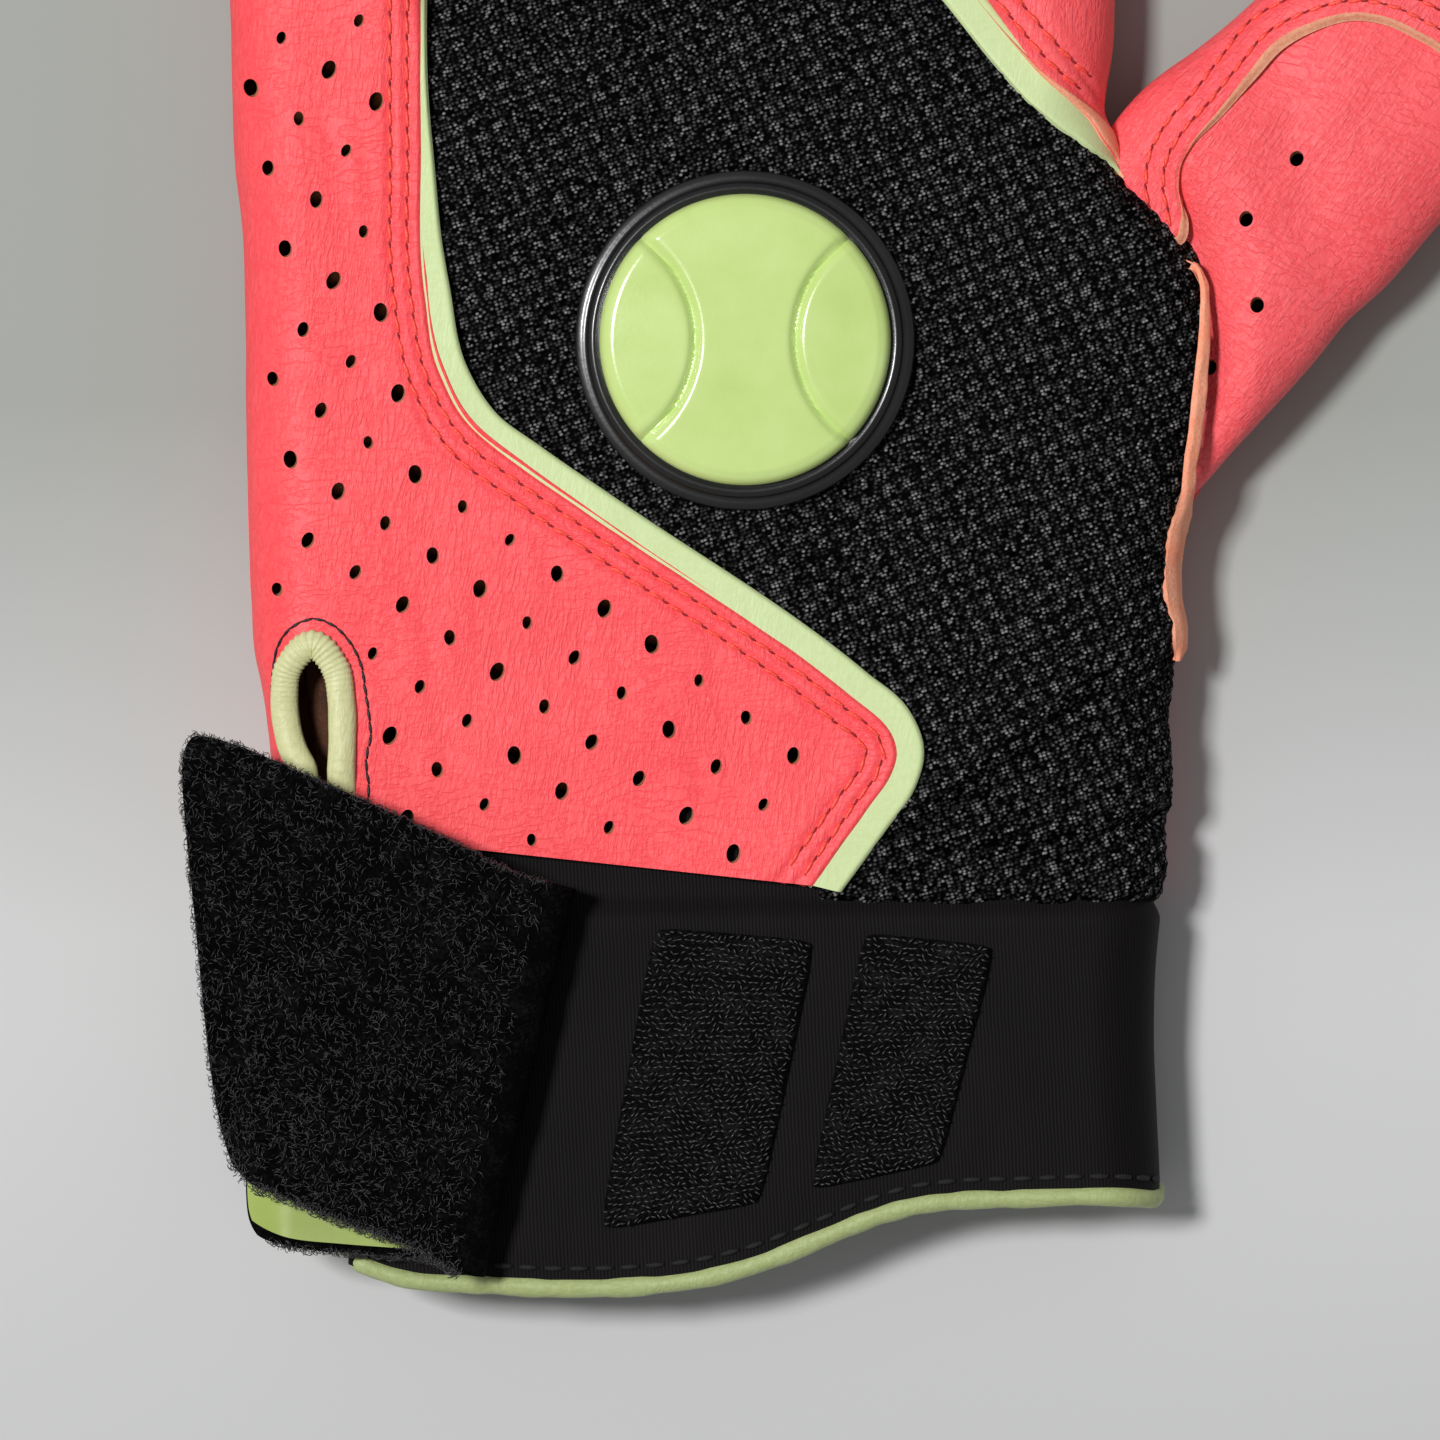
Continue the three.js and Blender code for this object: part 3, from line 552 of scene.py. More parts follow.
def panel(name, columns, rows, plan, form, finish, turned=False):
    """A grid laid out by its plan and rolled up by its form. turned swaps the face that shows."""
    draft = bmesh.new()
    draft.loops.layers.uv.verify()
    bmesh.ops.create_grid(draft, x_segments=columns, y_segments=rows, size=0.5, calc_uvs=True)
    if turned:
        bmesh.ops.reverse_faces(draft, faces=draft.faces)
    piece = add_object(name, draft, finish)
    mesh = piece.data
    u, v = read_points(mesh)[:, :2].T + 0.5
    across, along, lift = np.broadcast_arrays(*plan(u, v))
    corner = np.empty(len(mesh.loops), np.int32)
    mesh.loops.foreach_get("vertex_index", corner)
    mesh.uv_layers[0].data.foreach_set("uv", (np.stack([across, along], 1) * MM)[corner].ravel())
    write_points(mesh, form(across, along, lift))
    return piece


def close_seams(piece):
    """Weld the grid where its sides or ends meet, and turn every face outwards."""
    draft = bmesh.new()
    draft.from_mesh(piece.data)
    bmesh.ops.remove_doubles(draft, verts=draft.verts, dist=1e-3 * MM)
    bmesh.ops.recalc_face_normals(draft, faces=draft.faces)
    draft.to_mesh(piece.data)
    draft.free()
    return piece


def piping(name, path, up, half_width, half_height, finish, around=14):
    """A soft roll along a path, closed at both ends. The halves may change along the way."""
    path = np.asarray(path, float)
    count = len(path)
    along = unit(np.gradient(path, axis=0))
    up = np.broadcast_to(np.asarray(up, float), path.shape)
    side = unit(np.cross(along, up))
    top = np.cross(side, along)
    half_width = np.broadcast_to(half_width, count)
    half_height = np.broadcast_to(half_height, count)
    ends = np.ones(count)
    ends[[0, -1]] = 0
    ends[[1, -2]] = 0.75

    def form(turn, station, lift):
        i = np.rint(station).astype(int)
        angle = turn * math.tau
        aside = (half_width[i] * ends[i] + lift)[:, None] * np.cos(angle)[:, None]
        raised = (half_height[i] * ends[i] + lift)[:, None] * np.sin(angle)[:, None]
        return path[i] + side[i] * aside + top[i] * raised

    piece = panel(name, around, count - 1, lambda u, v: (u, v * (count - 1), 0 * u), form, finish)
    return close_seams(piece)


def copies(name, template, centres, axes, finish):
    """Many copies of a small shape. axes says where each copy's x, y and z point and how long they are."""
    count, per = len(centres), len(template.verts)
    template = template.copy()
    while len(template.verts) < count * per:
        bmesh.ops.duplicate(template, geom=template.verts[:] + template.edges[:] + template.faces[:])
    template.verts.ensure_lookup_table()
    bmesh.ops.delete(template, geom=template.verts[count * per:], context="VERTS")
    piece = add_object(name, template, finish)
    shape = read_points(piece.data).reshape(count, per, 3)
    placed = np.asarray(centres)[:, None] + np.einsum("npk,nkj->npj", shape, np.asarray(axes))
    write_points(piece.data, placed)
    return piece


def arc_template(fibre, radius, sides, angle, steps):
    """Part of a small upright ring: a circle as thick as the fibre, spun through an angle."""
    template = bmesh.new()
    circle = bmesh.ops.create_circle(template, segments=sides, radius=fibre)
    bmesh.ops.translate(template, vec=(radius, 0, 0), verts=circle["verts"])
    section = template.verts[:] + template.edges[:]
    bmesh.ops.spin(template, geom=section, cent=(0, 0, 0), axis=(0, -1, 0), angle=angle, steps=steps)
    return template


def even_steps(path, pitch):
    """Places and directions at even steps along a path in space."""
    length = run_along(path)
    count = max(int(length[-1] / pitch), 1)
    stops = (np.arange(count) + 0.5) * length[-1] / count
    places = np.stack([np.interp(stops, length, column) for column in path.T], 1)
    ahead = np.stack([np.interp(stops + pitch / 4, length, column) for column in path.T], 1)
    return places, unit(ahead - places)


def stitches(name, paths, pitch, length, width, finish, up=(0, 0, 1), slant=0.0, holes=None):
    """Rows of sewn stitches: small rolls of thread that dive into the leather at both ends.

    With a second finish, a dark spot of painted shade stands for the needle hole between each two stitches.
    """
    centres, axes, gaps = [], [], []
    for path in paths:
        places, along = even_steps(np.asarray(path, float), pitch)
        side = unit(np.cross(np.broadcast_to(up, along.shape), along))
        top = np.cross(along, side)
        centres.append(places)
        gaps.append(places + along * pitch / 2)
        along = along + side * slant
        axes.append(np.stack([along * length / 2, side * width / 2, top * width / 2], 1))
    template = bmesh.new()
    bmesh.ops.create_uvsphere(template, u_segments=6, v_segments=5, radius=1)
    sewn = copies(name, template, np.concatenate(centres), np.concatenate(axes), finish)
    if not holes:
        return sewn
    template = bmesh.new()
    bmesh.ops.create_uvsphere(template, u_segments=6, v_segments=4, radius=1)
    short = np.concatenate(axes) * np.array([0.8 / length, 0.62, 0.5])[:, None]
    return sewn, copies(name + "_holes", template, np.concatenate(gaps), short, holes)


def label(piece, slot, *nodes):
    """Hide the plain solids that a piece covers, so that it stands for them, and print its face count. slot is not
    used.
    """
    if nodes:
        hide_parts(*nodes)
    print(piece.name, len(piece.data.polygons), "faces")


def dress(piece, body, slot, *nodes):
    """Fix a finished piece to the body that carries it, and label it."""
    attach(piece, body)
    label(piece, slot, *nodes)


print("helpers ready")

# %% [markdown]
# **The form of the hand.** A glove that lies flat is a slack tube: level on top and below, with round
# sides. The sides follow the outline that the glove shows from above. Between the fingers the top and the
# palm sink into three valleys, so that the tube runs out into four round fingers. Each finger's place and
# size is read from its joint and its solids.

# %% Hand outline and fingers
def solid_points(*nodes):
    corners = [[corner.co for corner in frame["nodes"][node].data.vertices] for node in nodes]
    return np.concatenate(corners) / MM


def solid_box(node):
    points = solid_points(node)
    return points.min(0), points.max(0)


class Digit:
    """A finger or thumb: where it starts, points and bends, and how it tapers, from its joint and solids."""

    def __init__(self, name, along, origin, tip_round, bend):
        self.name = name
        self.bend = bend
        self.along = along
        self.across = np.array([along[1], -along[0]])
        self.origin = origin
        self.body = name if name == "thumb" else name + "_finger"
        self.nodes = frame["record"]["behaviour"]["bodies"][self.body]
        points = solid_points(*self.nodes)
        forward = (points[:, :2] - origin) @ along
        aside = np.abs((points[:, :2] - origin) @ self.across)
        self.length = forward.max()
        self.tip_round = tip_round
        self.shaft = self.length - tip_round
        self.root_half = aside[forward < self.shaft / 2 + 1].max()
        self.tip_half = aside[np.abs(forward - self.shaft) < 1].max()
        self.root_height = points[:, 2].max()
        self.tip_height = points[forward > self.shaft - 1][:, 2].max()

    def plan(self, forward, aside):
        return self.origin + np.multiply.outer(forward, self.along) + np.multiply.outer(aside, self.across)


JOINTS = {joint["name"]: joint for joint in frame["joints"]}
FINGER_NAMES = ("little", "ring", "middle", "index")
FINGER_TIP_ROUND = 9
FINGER_SPACING = 1.2
FINGER_BEND = (-2.0, 10.0)
TOP = solid_points("back_mesh_panel")[:, 2].max()
ROLL = TOP / 2


def finger_digit(name):
    joint = JOINTS[name + "_curl"]
    axis = np.array(joint["axis"][:2])
    origin = np.array(joint["pos_m"][:2]) / MM
    return Digit(name, np.array([axis[1], -axis[0]]), origin, FINGER_TIP_ROUND, FINGER_BEND)


fingers = [finger_digit(name) for name in FINGER_NAMES]
valleys = [finger.plan(0, finger.root_half + FINGER_SPACING / 2) for finger in fingers[:-1]]
knuckle_start = fingers[0].plan(0, -fingers[0].root_half)
knuckle_end = fingers[-1].plan(0, fingers[-1].root_half)
knuckle_y = through([knuckle_start, *valleys, knuckle_end])
for finger in fingers:
    print(finger.name, "length", round(finger.length, 1), "width", round(2 * finger.root_half, 1))

# %% [markdown]
# The two sides of the outline are lines through measured points. A panel is drawn flat and then rolled
# round these sides, as cloth lies round a mould, so it keeps its width where it turns over. One formula
# does it for the back and, upside down, for the palm. A Lattice could bend the cloth too, but then the
# millimetres of the flat pattern, which the ribs and the stitches follow, would be lost.

# %% Rolling the flat pattern over the hand
left_edge = through([(-90, -45.2), (-45, -45.2), (-30.9, -45.2), (-28.6, -45.55), (-26.3, -45.85),
                     (-24, -46.25), (-21.5, -46.75), (-15.4, -47.15), (-2, -47.6), (18, -47.8),
                     (23, -48.15), (27.2, -48.6), (35.6, -48.9), (44, -49.3), (56, -49.8)])
right_edge = through([(-90, 44.9), (-74.6, 44.5), (-58, 43.9), (-46.9, 44.6), (-45, 44.9), (-43, 45.5),
                      (-41.3, 45.3), (-38.5, 44.7), (-35.9, 45.6), (-31.6, 45.8), (-27.3, 45.6), (-23, 46),
                      (-19.5, 46.5), (-16.5, 46.1), (-13, 45.8), (-9.7, 46.2), (-7, 47.2), (-4.9, 48.4),
                      (3, 50.3), (13.4, 50.8), (18.5, 49.2), (22.5, 45.8), (26.6, 41.3), (28.2, 40.1),
                      (30, 39.7), (31.5, 39.1), (33, 38.4), (35, 38.6), (37.9, 39.1), (44, 39.5),
                      (56, 39.7)])
VALLEY_DEPTH = 5.2
VALLEY_WIDTH = 2.6
VALLEY_RUN = 15


def valley(x, y):
    depth = 0 * x
    for place in valleys:
        depth = depth + bell(x - place[0], VALLEY_WIDTH) * smooth((y - place[1] + VALLEY_RUN) / VALLEY_RUN)
    return VALLEY_DEPTH * depth


def unroll(x, y):
    """Where a place seen from above lies on the flat pattern."""
    left, right = left_edge(y) + ROLL, right_edge(y) - ROLL
    past = np.clip((x - right) / ROLL, 0, 1)
    short = np.clip((left - x) / ROLL, 0, 1)
    return np.clip(x, left, right) + ROLL * (np.arcsin(past) - np.arcsin(short))


def side_seam(y, side, turn=math.pi / 2):
    """Where the pattern has turned by an angle round the left (-1) or right (1) side."""
    edge = left_edge(y) + ROLL if side < 0 else right_edge(y) - ROLL
    return edge + side * ROLL * turn


def back_relief(x, y):
    return 0.22 * ripple(x, y, 17, 3) - valley(x, y)


def palm_relief(x, y):
    return 0.2 * ripple(x, y, 13, 5) - 0.2 - valley(x, y)


def rolled(pattern_x, y, lift, relief):
    left, right = left_edge(y) + ROLL, right_edge(y) - ROLL
    side = np.where(pattern_x < (left + right) / 2, -1, 1)
    edge = np.where(side < 0, left, right)
    over = np.clip(side * (pattern_x - edge), 0, None)
    angle = np.minimum(over / ROLL, math.pi)
    beyond = np.clip(over - math.pi * ROLL, 0, None)
    reach = ROLL + lift
    x = np.where(over > 0, edge + side * (reach * np.sin(angle) - beyond), pattern_x)
    z = TOP / 2 + reach * np.cos(angle) + relief(x, y) * np.clip(np.cos(angle), 0, 1)
    return np.stack([x, y, z], 1)


def hand_back(pattern_x, y, lift):
    return rolled(pattern_x, y, lift, back_relief)


def hand_palm(pattern_x, y, lift):
    points = rolled(pattern_x, y, lift, palm_relief)
    points[:, 2] = TOP - points[:, 2]
    return points


def on_back(path, height):
    """A flat path laid on the back of the hand at the given height."""
    x, y = np.asarray(path).T
    return hand_back(unroll(x, y), y, height)


print("top of the hand at", round(TOP, 1), "mm")

# %% [markdown]
# **The big leather panel.** It covers the little-finger side of the back. Its free edge runs down beside
# the little finger, turns across the hand and comes to a corner near the wrist. Near that edge the leather
# lies over the trim, so it stands higher, and two sewn rows press grooves into it. One function gives that
# height, so the stitches can use it too.

# %% Height of the little-finger leather
PANEL_EDGE = [(9.4, -44.6), (14.6, -37.4), (17.2, -33.6), (17.8, -31.2), (16.8, -28.6), (13.1, -25.4),
              (-11.9, -8.1), (-19.3, -3), (-24.4, 0.9), (-27.9, 6.7), (-29.5, 14.9), (-29.8, 30),
              (-29.8, 57)]
STITCH_ROWS = (1.5, 3.2)
LEATHER = 1.0

panel_edge = through([(y, x) for x, y in PANEL_EDGE])


def panel_inside(x, y):
    """Distance inwards from the free edge of the big panel."""
    slope = (panel_edge(y + 0.1) - panel_edge(y - 0.1)) / 0.2
    return (panel_edge(y) - x) / np.sqrt(1 + slope**2)


def sewn_height(inside):
    """Leather near a sewn edge: lying on the trim, pressed down along the stitch rows, rounded at the cut."""
    height = 0.15 + 0.6 * bell(inside, 5.5)
    for row in STITCH_ROWS:
        height = height - 0.24 * bell(inside - row, 0.55)
    return height - 0.3 * bell(inside, 0.3)


def wrinkles(x, y, seed=1):
    fan = 0.09 * ripple(x + 0.16 * y, y * 0.3, 1.9, seed) * smooth(ripple(x, y, 14, seed + 2) + 0.6)
    return fan + 0.16 * ripple(x, y, 7, seed + 1)


def pinky_height(x, y):
    inside = panel_inside(x, y)
    return sewn_height(inside) + wrinkles(x, y) * smooth((inside - 0.5) / 5)


print("edge at the wrist:", panel_edge(-44.6), "and at the knuckles:", panel_edge(50))

# %% [markdown]
# The panel's rows run across the hand and its columns crowd towards the free edge, where the grooves are.
# The slit and the air holes are punched with a Boolean, as a maker would punch them, and the walls of the
# holes take the tan colour of the raw hide. The holes stand on a slanting lattice that bends a little
# towards the wrist. At the knuckles the leather goes down under the finger's own leather.

# %% Little-finger leather with its holes
WRIST_SLOPE = 0.107
HOLE_START = (-36.5, -13.2)
HOLE_STEP = (4.73, -3.2)
HOLE_ROW = (3.0, 4.9)
HOLE_BEND = 0.04
HOLE_RADIUS = 0.6
HOLE_OVAL = 1.36
HOLE_LEAN = 0.16
HOLE_MARGIN = 4.3
HOLE_REACH = (-42, 49)
ROD_LENGTH = 5
ROD_SINK = [0, 0, 0.5]
SLIT_LEFT = [(-42, -46), (-41.2, -35.5), (-41.6, -32.8), (-42.55, -30.9), (-43.15, -28.6), (-43.4, -25.5),
             (-43.05, -22.8)]
SLIT_TOP = [(-40.7, -20.4)]
SLIT_RIGHT = [(-38.5, -22.8), (-37.9, -26), (-37.8, -30), (-37.9, -33), (-37.7, -46)]
SLIT_PATH = SLIT_LEFT + SLIT_TOP + SLIT_RIGHT
SLIT_CENTRE = (-40.5, -22.6)
SLIT_HALF_WIDTH = 2.1
SLIT_RUN = 30
WRIST_Y = -44.6
PANEL_RUN = 97
SEAM_TURN = 1.72
KNUCKLE_SPAN = (-49, 39)
UNDER_FINGER = 1.4


def under_finger(v, start=0.957, run=0.025):
    """How far the end of a leather goes down, so that it lies under the finger's own."""
    return UNDER_FINGER * smooth((v - start) / run)


def pinky_plan(u, v):
    row_y = WRIST_Y + v * PANEL_RUN
    u = 1 - (1 - u) ** 1.7
    seam = side_seam(row_y, -1, SEAM_TURN)
    x = seam + u * (panel_edge(row_y) - seam)
    wrist = WRIST_SLOPE * np.clip(9.4 - x, 0, 34)
    y = row_y + (1 - v) ** 6 * wrist + v**6 * (knuckle_y(x) - row_y)
    return x, y, pinky_height(x, y) - under_finger(v)


def punch(piece, draft, wall):
    """Cut a piece with a closed shape. The walls of the cut get their own finish."""
    cutter = add_object(piece.name + "_punch", draft, wall)
    cut = piece.modifiers.new("punch", "BOOLEAN")
    cut.operation = "DIFFERENCE"
    cut.solver = "EXACT"
    cut.use_self = True
    cut.material_mode = "TRANSFER"
    cut.object = cutter
    settle(piece)
    bpy.data.objects.remove(cutter)
    return piece


def hole_punch(draft, place, radius, turn, oval=HOLE_OVAL, leaning=HOLE_LEAN):
    """An upright oval rod whose top leans to the lower right, so that this wall of the hole is lit."""
    sizes = {"radius1": radius, "radius2": radius, "depth": ROD_LENGTH}
    rod = bmesh.ops.create_cone(draft, cap_ends=True, segments=16, **sizes)
    for corner in rod["verts"]:
        x, y, z = corner.co
        y *= oval
        lean = (z - 0.4) * leaning
        x, y = x * math.cos(turn) - y * math.sin(turn) + lean, x * math.sin(turn) + y * math.cos(turn) - lean
        corner.co = Vector((place[0] + x, place[1] + y, place[2] + z)) * MM


def air_holes():
    """The lattice of air holes, where it is clear of the edges, the sewing and the slit."""
    places = []
    for i in range(-8, 12):
        for j in range(-9, 12):
            x = HOLE_START[0] + i * HOLE_STEP[0] + j * HOLE_ROW[0]
            y = HOLE_START[1] + i * HOLE_STEP[1] + j * HOLE_ROW[1] - HOLE_BEND * max(i, 0) ** 2
            clear_edge = panel_inside(x, y) > HOLE_MARGIN and HOLE_REACH[0] < y < HOLE_REACH[1]
            clear_side = x > left_edge(y) + 2.0
            clear_slit = from_line(x, y, SLIT_PATH) > 3.4 and not (y < -22 and x < -37)
            if clear_edge and clear_side and clear_slit:
                places.append((x, y))
    return places


pinky_leather = panel("pinky_leather", 150, 230, pinky_plan, hand_back, coral_leather)
thicken(pinky_leather, LEATHER, suede_inside)
holes = air_holes()
rods = bmesh.new()
for i, (x, y) in enumerate(holes):
    at = np.array([[x, y]])
    place = on_back(at, pinky_height(*at.T))[0] - ROD_SINK
    hole_punch(rods, place, HOLE_RADIUS * (1 + 0.2 * math.sin(i * 2.4)), -0.15 + 0.3 * math.sin(i * 1.7))
sizes = {"radius1": SLIT_HALF_WIDTH, "radius2": SLIT_HALF_WIDTH, "depth": 2 * ROD_LENGTH}
slot = bmesh.ops.create_cone(rods, cap_ends=True, segments=32, **sizes)
for corner in slot["verts"]:
    x, y, z = corner.co
    y = SLIT_CENTRE[1] + y - (SLIT_RUN if y < 0 else 0)
    corner.co = Vector((SLIT_CENTRE[0] + x, y, TOP - 2 + z)) * MM
punch(pinky_leather, rods, hole_wall)
dress(pinky_leather, "hand", "coral_leather", "pinky_side_panel")
print(len(holes), "air holes")

# %% [markdown]
# **Sewing.** Two rows of lockstitch run along the edge. Each stitch is one small roll of thread, and the
# rows follow the edge at a fixed distance. The same helper sews every other seam of the glove.

# %% Stitches of the little-finger leather
THREAD = 0.46
THREAD_SLANT = 0.1
ROW_END = 50
edge_path = trace(PANEL_EDGE, 240)
edge_right = right_hand(edge_path)


def sewn_rows(path, inwards, height):
    lines = [path + inwards * row for row in STITCH_ROWS]
    return [on_back(line, height(line[:, 0], line[:, 1]) + 0.04) for line in lines]


def lockstitch(name, rows, pitch=2.3, length=2.1):
    """Coral thread, and the painted shade of its needle holes."""
    return stitches(name, rows, pitch, length, THREAD, coral_thread, slant=THREAD_SLANT, holes=needle_hole_shade)


shown = edge_path[:, 1] < ROW_END
for sewn in lockstitch("pinky_stitches", sewn_rows(edge_path[shown], -edge_right[shown], pinky_height)):
    dress(sewn, "hand", "coral_leather")

# %% [markdown]
# **Trims.** A band of lime leather shows between the coral leather and the mesh. It is flat on top with
# soft edges. It grows narrow towards the little finger, where it ends before the knuckle, and the one at
# the index finger ends in a point at the thumb's crotch.

# %% Lime trims
INDEX_EDGE = [(17.2, 56), (20.6, 50.5), (25.8, 44), (29.4, 39.6), (32.7, 35.9), (34.7, 34.1), (36.7, 32.1),
              (37.9, 30.2), (39.3, 28.4), (40.4, 26.6)]
trim_width = through([(-46, 2.6), (10, 2.6), (15, 2.5), (22, 1.8), (33, 0.75), (57, 0.6)])
index_trim_width = through([(26, 0.05), (26.6, 0.08), (27.4, 0.35), (28.4, 0.75), (30.2, 1.6), (32.7, 2.65),
                            (35, 2.85), (38, 2.85), (44, 2.75), (57, 2.4)])
CUT_RUN = 5
TRIM_END = 49.5


def band(path, inwards, width, tuck, crown, point=False, cut=0.0):
    """The plan of a flat band beside a path: one edge is tucked under the leather, the other rounds down."""
    steps = len(path) - 1
    along = unit(np.gradient(path, axis=0))
    run = run_along(path)

    def plan(u, v):
        i = np.rint(v * steps).astype(int)
        wide = width(path[i, 1])
        hidden = tuck * smooth((wide - 0.3) / 1.2) if point else tuck
        off = -hidden + u * (wide + hidden)
        slanted = cut * (off + 0.25 * np.clip(off - wide + 0.8, 0, None) ** 2)
        slanted = slanted * (1 - smooth(run[i] / CUT_RUN))
        place = path[i] + inwards[i] * off[:, None] + along[i] * slanted[:, None]
        rim = np.minimum(off + hidden, wide - off)
        height = crown - 0.5 * bell(rim, 0.16) + 0.04 * ripple(place[:, 0], place[:, 1], 4, 9)
        return unroll(place[:, 0], place[:, 1]), place[:, 1], height

    return plan


def trim(name, path, inwards, width, **shape):
    plan = band(path, inwards, width, 0.9, 0.5, **shape)
    return thicken(panel(name, 16, len(path) - 1, plan, hand_back, lime_leather), 0.9)


shown = edge_path[:, 1] < TRIM_END
pinky_trim = trim("pinky_trim", edge_path[shown], edge_right[shown], trim_width, cut=0.4)
dress(pinky_trim, "hand", "lime_leather", "pinky_side_trim")
index_path = trace(INDEX_EDGE, 110)
index_right = right_hand(index_path)
index_trim = trim("index_trim", index_path, index_right, index_trim_width, point=True)
dress(index_trim, "hand", "lime_leather", "index_side_trim")

# %% [markdown]
# ** Index leather.** The same coral leather, painted a little lighter to offset the shade on its slope, starts at the index finger's root and narrows to the crotch. Its cut edge is skived thin, so a salmon line of raw hide shows beside the trim.

# %% Leather at the index finger
index_edge = through([(y, x) for x, y in reversed(INDEX_EDGE)])


def index_height(x, y):
    inside = np.clip((x - index_edge(y)) * 0.72, 0, None)
    return sewn_height(inside) + wrinkles(x, y, 11) * smooth(inside / 4)


def index_plan(u, v):
    row_y = 27.4 + v * 25.5
    u = u**1.5
    start = unroll(index_edge(row_y), row_y)
    x = start + u * (side_seam(row_y, 1, SEAM_TURN) - start)
    y = row_y + v**4 * (knuckle_y(np.minimum(x, KNUCKLE_SPAN[1])) - row_y)
    return x, y, index_height(x, y) - under_finger(v, 0.84, 0.1)


index_leather = panel("index_leather", 60, 60, index_plan, hand_back, index_coral)
dress(thicken(index_leather, LEATHER, suede_inside), "hand", "coral_leather", "index_side_panel")
index_line = index_path[(index_path[:, 1] > 34) & (index_path[:, 1] < 51)]
for sewn in lockstitch("index_stitches", sewn_rows(index_line, -right_hand(index_line), index_height)):
    dress(sewn, "hand", "coral_leather")
skived_width = through([(26, 0.05), (28, 0.1), (28.6, 0.6), (30.2, 1.5), (32.1, 1.2), (34.1, 0.8),
                        (35.9, 0.6), (37, 0.5), (39.6, 0.28), (57, 0.22)])
skived_plan = band(index_path, -index_right, skived_width, 0.12, 0.88)
skived_steps = len(index_path) - 1
skived_edge = panel("index_raw_edge", 8, skived_steps, skived_plan, hand_back, salmon_edge, turned=True)
dress(thicken(skived_edge, 0.5), "hand", "raw_leather_edge")

# %% [markdown]
# **The mesh back.** One stretch panel covers the back of the hand between the leathers. Its left edge lies
# under the trim, and its right edge rolls over the side of the hand. It is soft, so it creases towards the
# wrist, and it goes down where another piece lies over its edge. Small knops and the creases are real
# relief, and the yarn is left to the material.

# %% Mesh over the back of the hand
THUMB_ZONE = (-10, -4)
THUMB_TURN = 0.8
SIDE_TURN = 1.85
LONG_CREASE = [(38, -25), (35.9, -27.1), (31.4, -31), (29.6, -32.7), (26.6, -34.6), (23.4, -37),
               (18, -39.8)]
WRIST_CREASE = [(46, -37.8), (38, -39.6), (32.7, -40.9), (27, -41.5)]
SHORT_CREASE = [(44, -29.5), (38, -31.5), (33, -32.2)]
CREASES = [(LONG_CREASE, 1.3, 1.15), (WRIST_CREASE, 0.9, 1.0), (SHORT_CREASE, 0.35, 1.2)]
MESH_START = -46.2
MESH_RUN = 98.6
CROTCH_Y = 26.4
KNOP_PITCH = (2.3, 2.0)
mesh_right = through([(CROTCH_Y, 41), (28.5, 39), (33, 33.6), (38, 28.6), (44, 23.6), (57, 15.5)])


def mesh_turn(y):
    """How far the mesh rolls over the right side: to the side seam, but less where the thumb starts."""
    at_thumb = smooth((y - THUMB_ZONE[0]) / (THUMB_ZONE[1] - THUMB_ZONE[0]))
    return SIDE_TURN - (SIDE_TURN - THUMB_TURN) * at_thumb


def mesh_plan(u, v):
    row_y = MESH_START + v * MESH_RUN
    left = panel_edge(np.maximum(row_y, WRIST_Y)) + 0.6
    rolled_right = side_seam(row_y, 1, 0) + ROLL * mesh_turn(row_y)
    right = np.where(row_y > CROTCH_Y, unroll(mesh_right(row_y), row_y), rolled_right)
    x = left + u * (right - left)
    y = row_y + v**4 * (knuckle_y(np.clip(x, *KNUCKLE_SPAN)) - row_y)
    y = y + (1 - v) ** 8 * 0.35 * ripple(x, 0 * x, 1.7, 2)
    knops = 0.2 * np.sin((x + 0.5 * y) * math.tau / KNOP_PITCH[0])
    knops = knops * np.sin((y - 0.5 * x) * math.tau / KNOP_PITCH[1])
    lift = -0.15 + knops + 0.22 * ripple(x, y, 7, 21) + 0.25 * ripple(x, y, 3.1, 22)
    for line, depth, width in CREASES:
        off = from_line(x, y, line)
        lift = lift - depth * bell(off, width) + 0.5 * depth * bell(off - 2 * width, width)
    from_right, from_left = (1 - u) * (right - left), u * (right - left)
    sunk = 0.9 * bell(row_y + 46.4, 0.5) + 0.8 * bell(from_left, 4.2)
    under_edge = 0.25 * smooth((row_y + 11) / 3) + 0.55 * smooth((row_y - 17) / 5)
    sunk = sunk + under_edge * bell(from_right, 4.2) + 1.2 * smooth((row_y - 46) / 5)
    return x, y, lift - sunk


back_mesh = panel("back_mesh", 176, 236, mesh_plan, hand_back, black_mesh)
thicken(back_mesh, 1.0, black_knit)
dress(back_mesh, "hand", "black_mesh", "back_mesh_panel")

# %% [markdown]
# **Raw edge at the thumb side.** The palm leather folds up over the edge of the mesh and is left raw, as a
# salmon strip that swells and narrows along the side of the hand.

# %% Raw palm edge
strip_inner = through([(-22.1, 45.6), (-21.3, 45.7), (-19.8, 45.5), (-18, 45.3), (-16.5, 44.85),
                       (-14.4, 44.5), (-11.3, 44.75), (-8.5, 45.3), (-7.2, 45.65), (-4.9, 46.05),
                       (-1.75, 46.4), (1.44, 46.8), (4.6, 47.2), (7.8, 47.5), (11, 47.8), (14.15, 48),
                       (16.4, 47.75), (17.6, 47.35), (18.6, 46.8)])
strip_outer = through([(-8, 46.7), (-4.9, 47.3), (-1.75, 47.7), (1.44, 48.2), (4.6, 48.56), (7.8, 48.76),
                       (11, 48.9), (14.15, 48.8), (16.4, 48.4), (17.6, 47.75), (18.6, 46.85)])


STRIP_START = -22.1
STRIP_RUN = 40.7


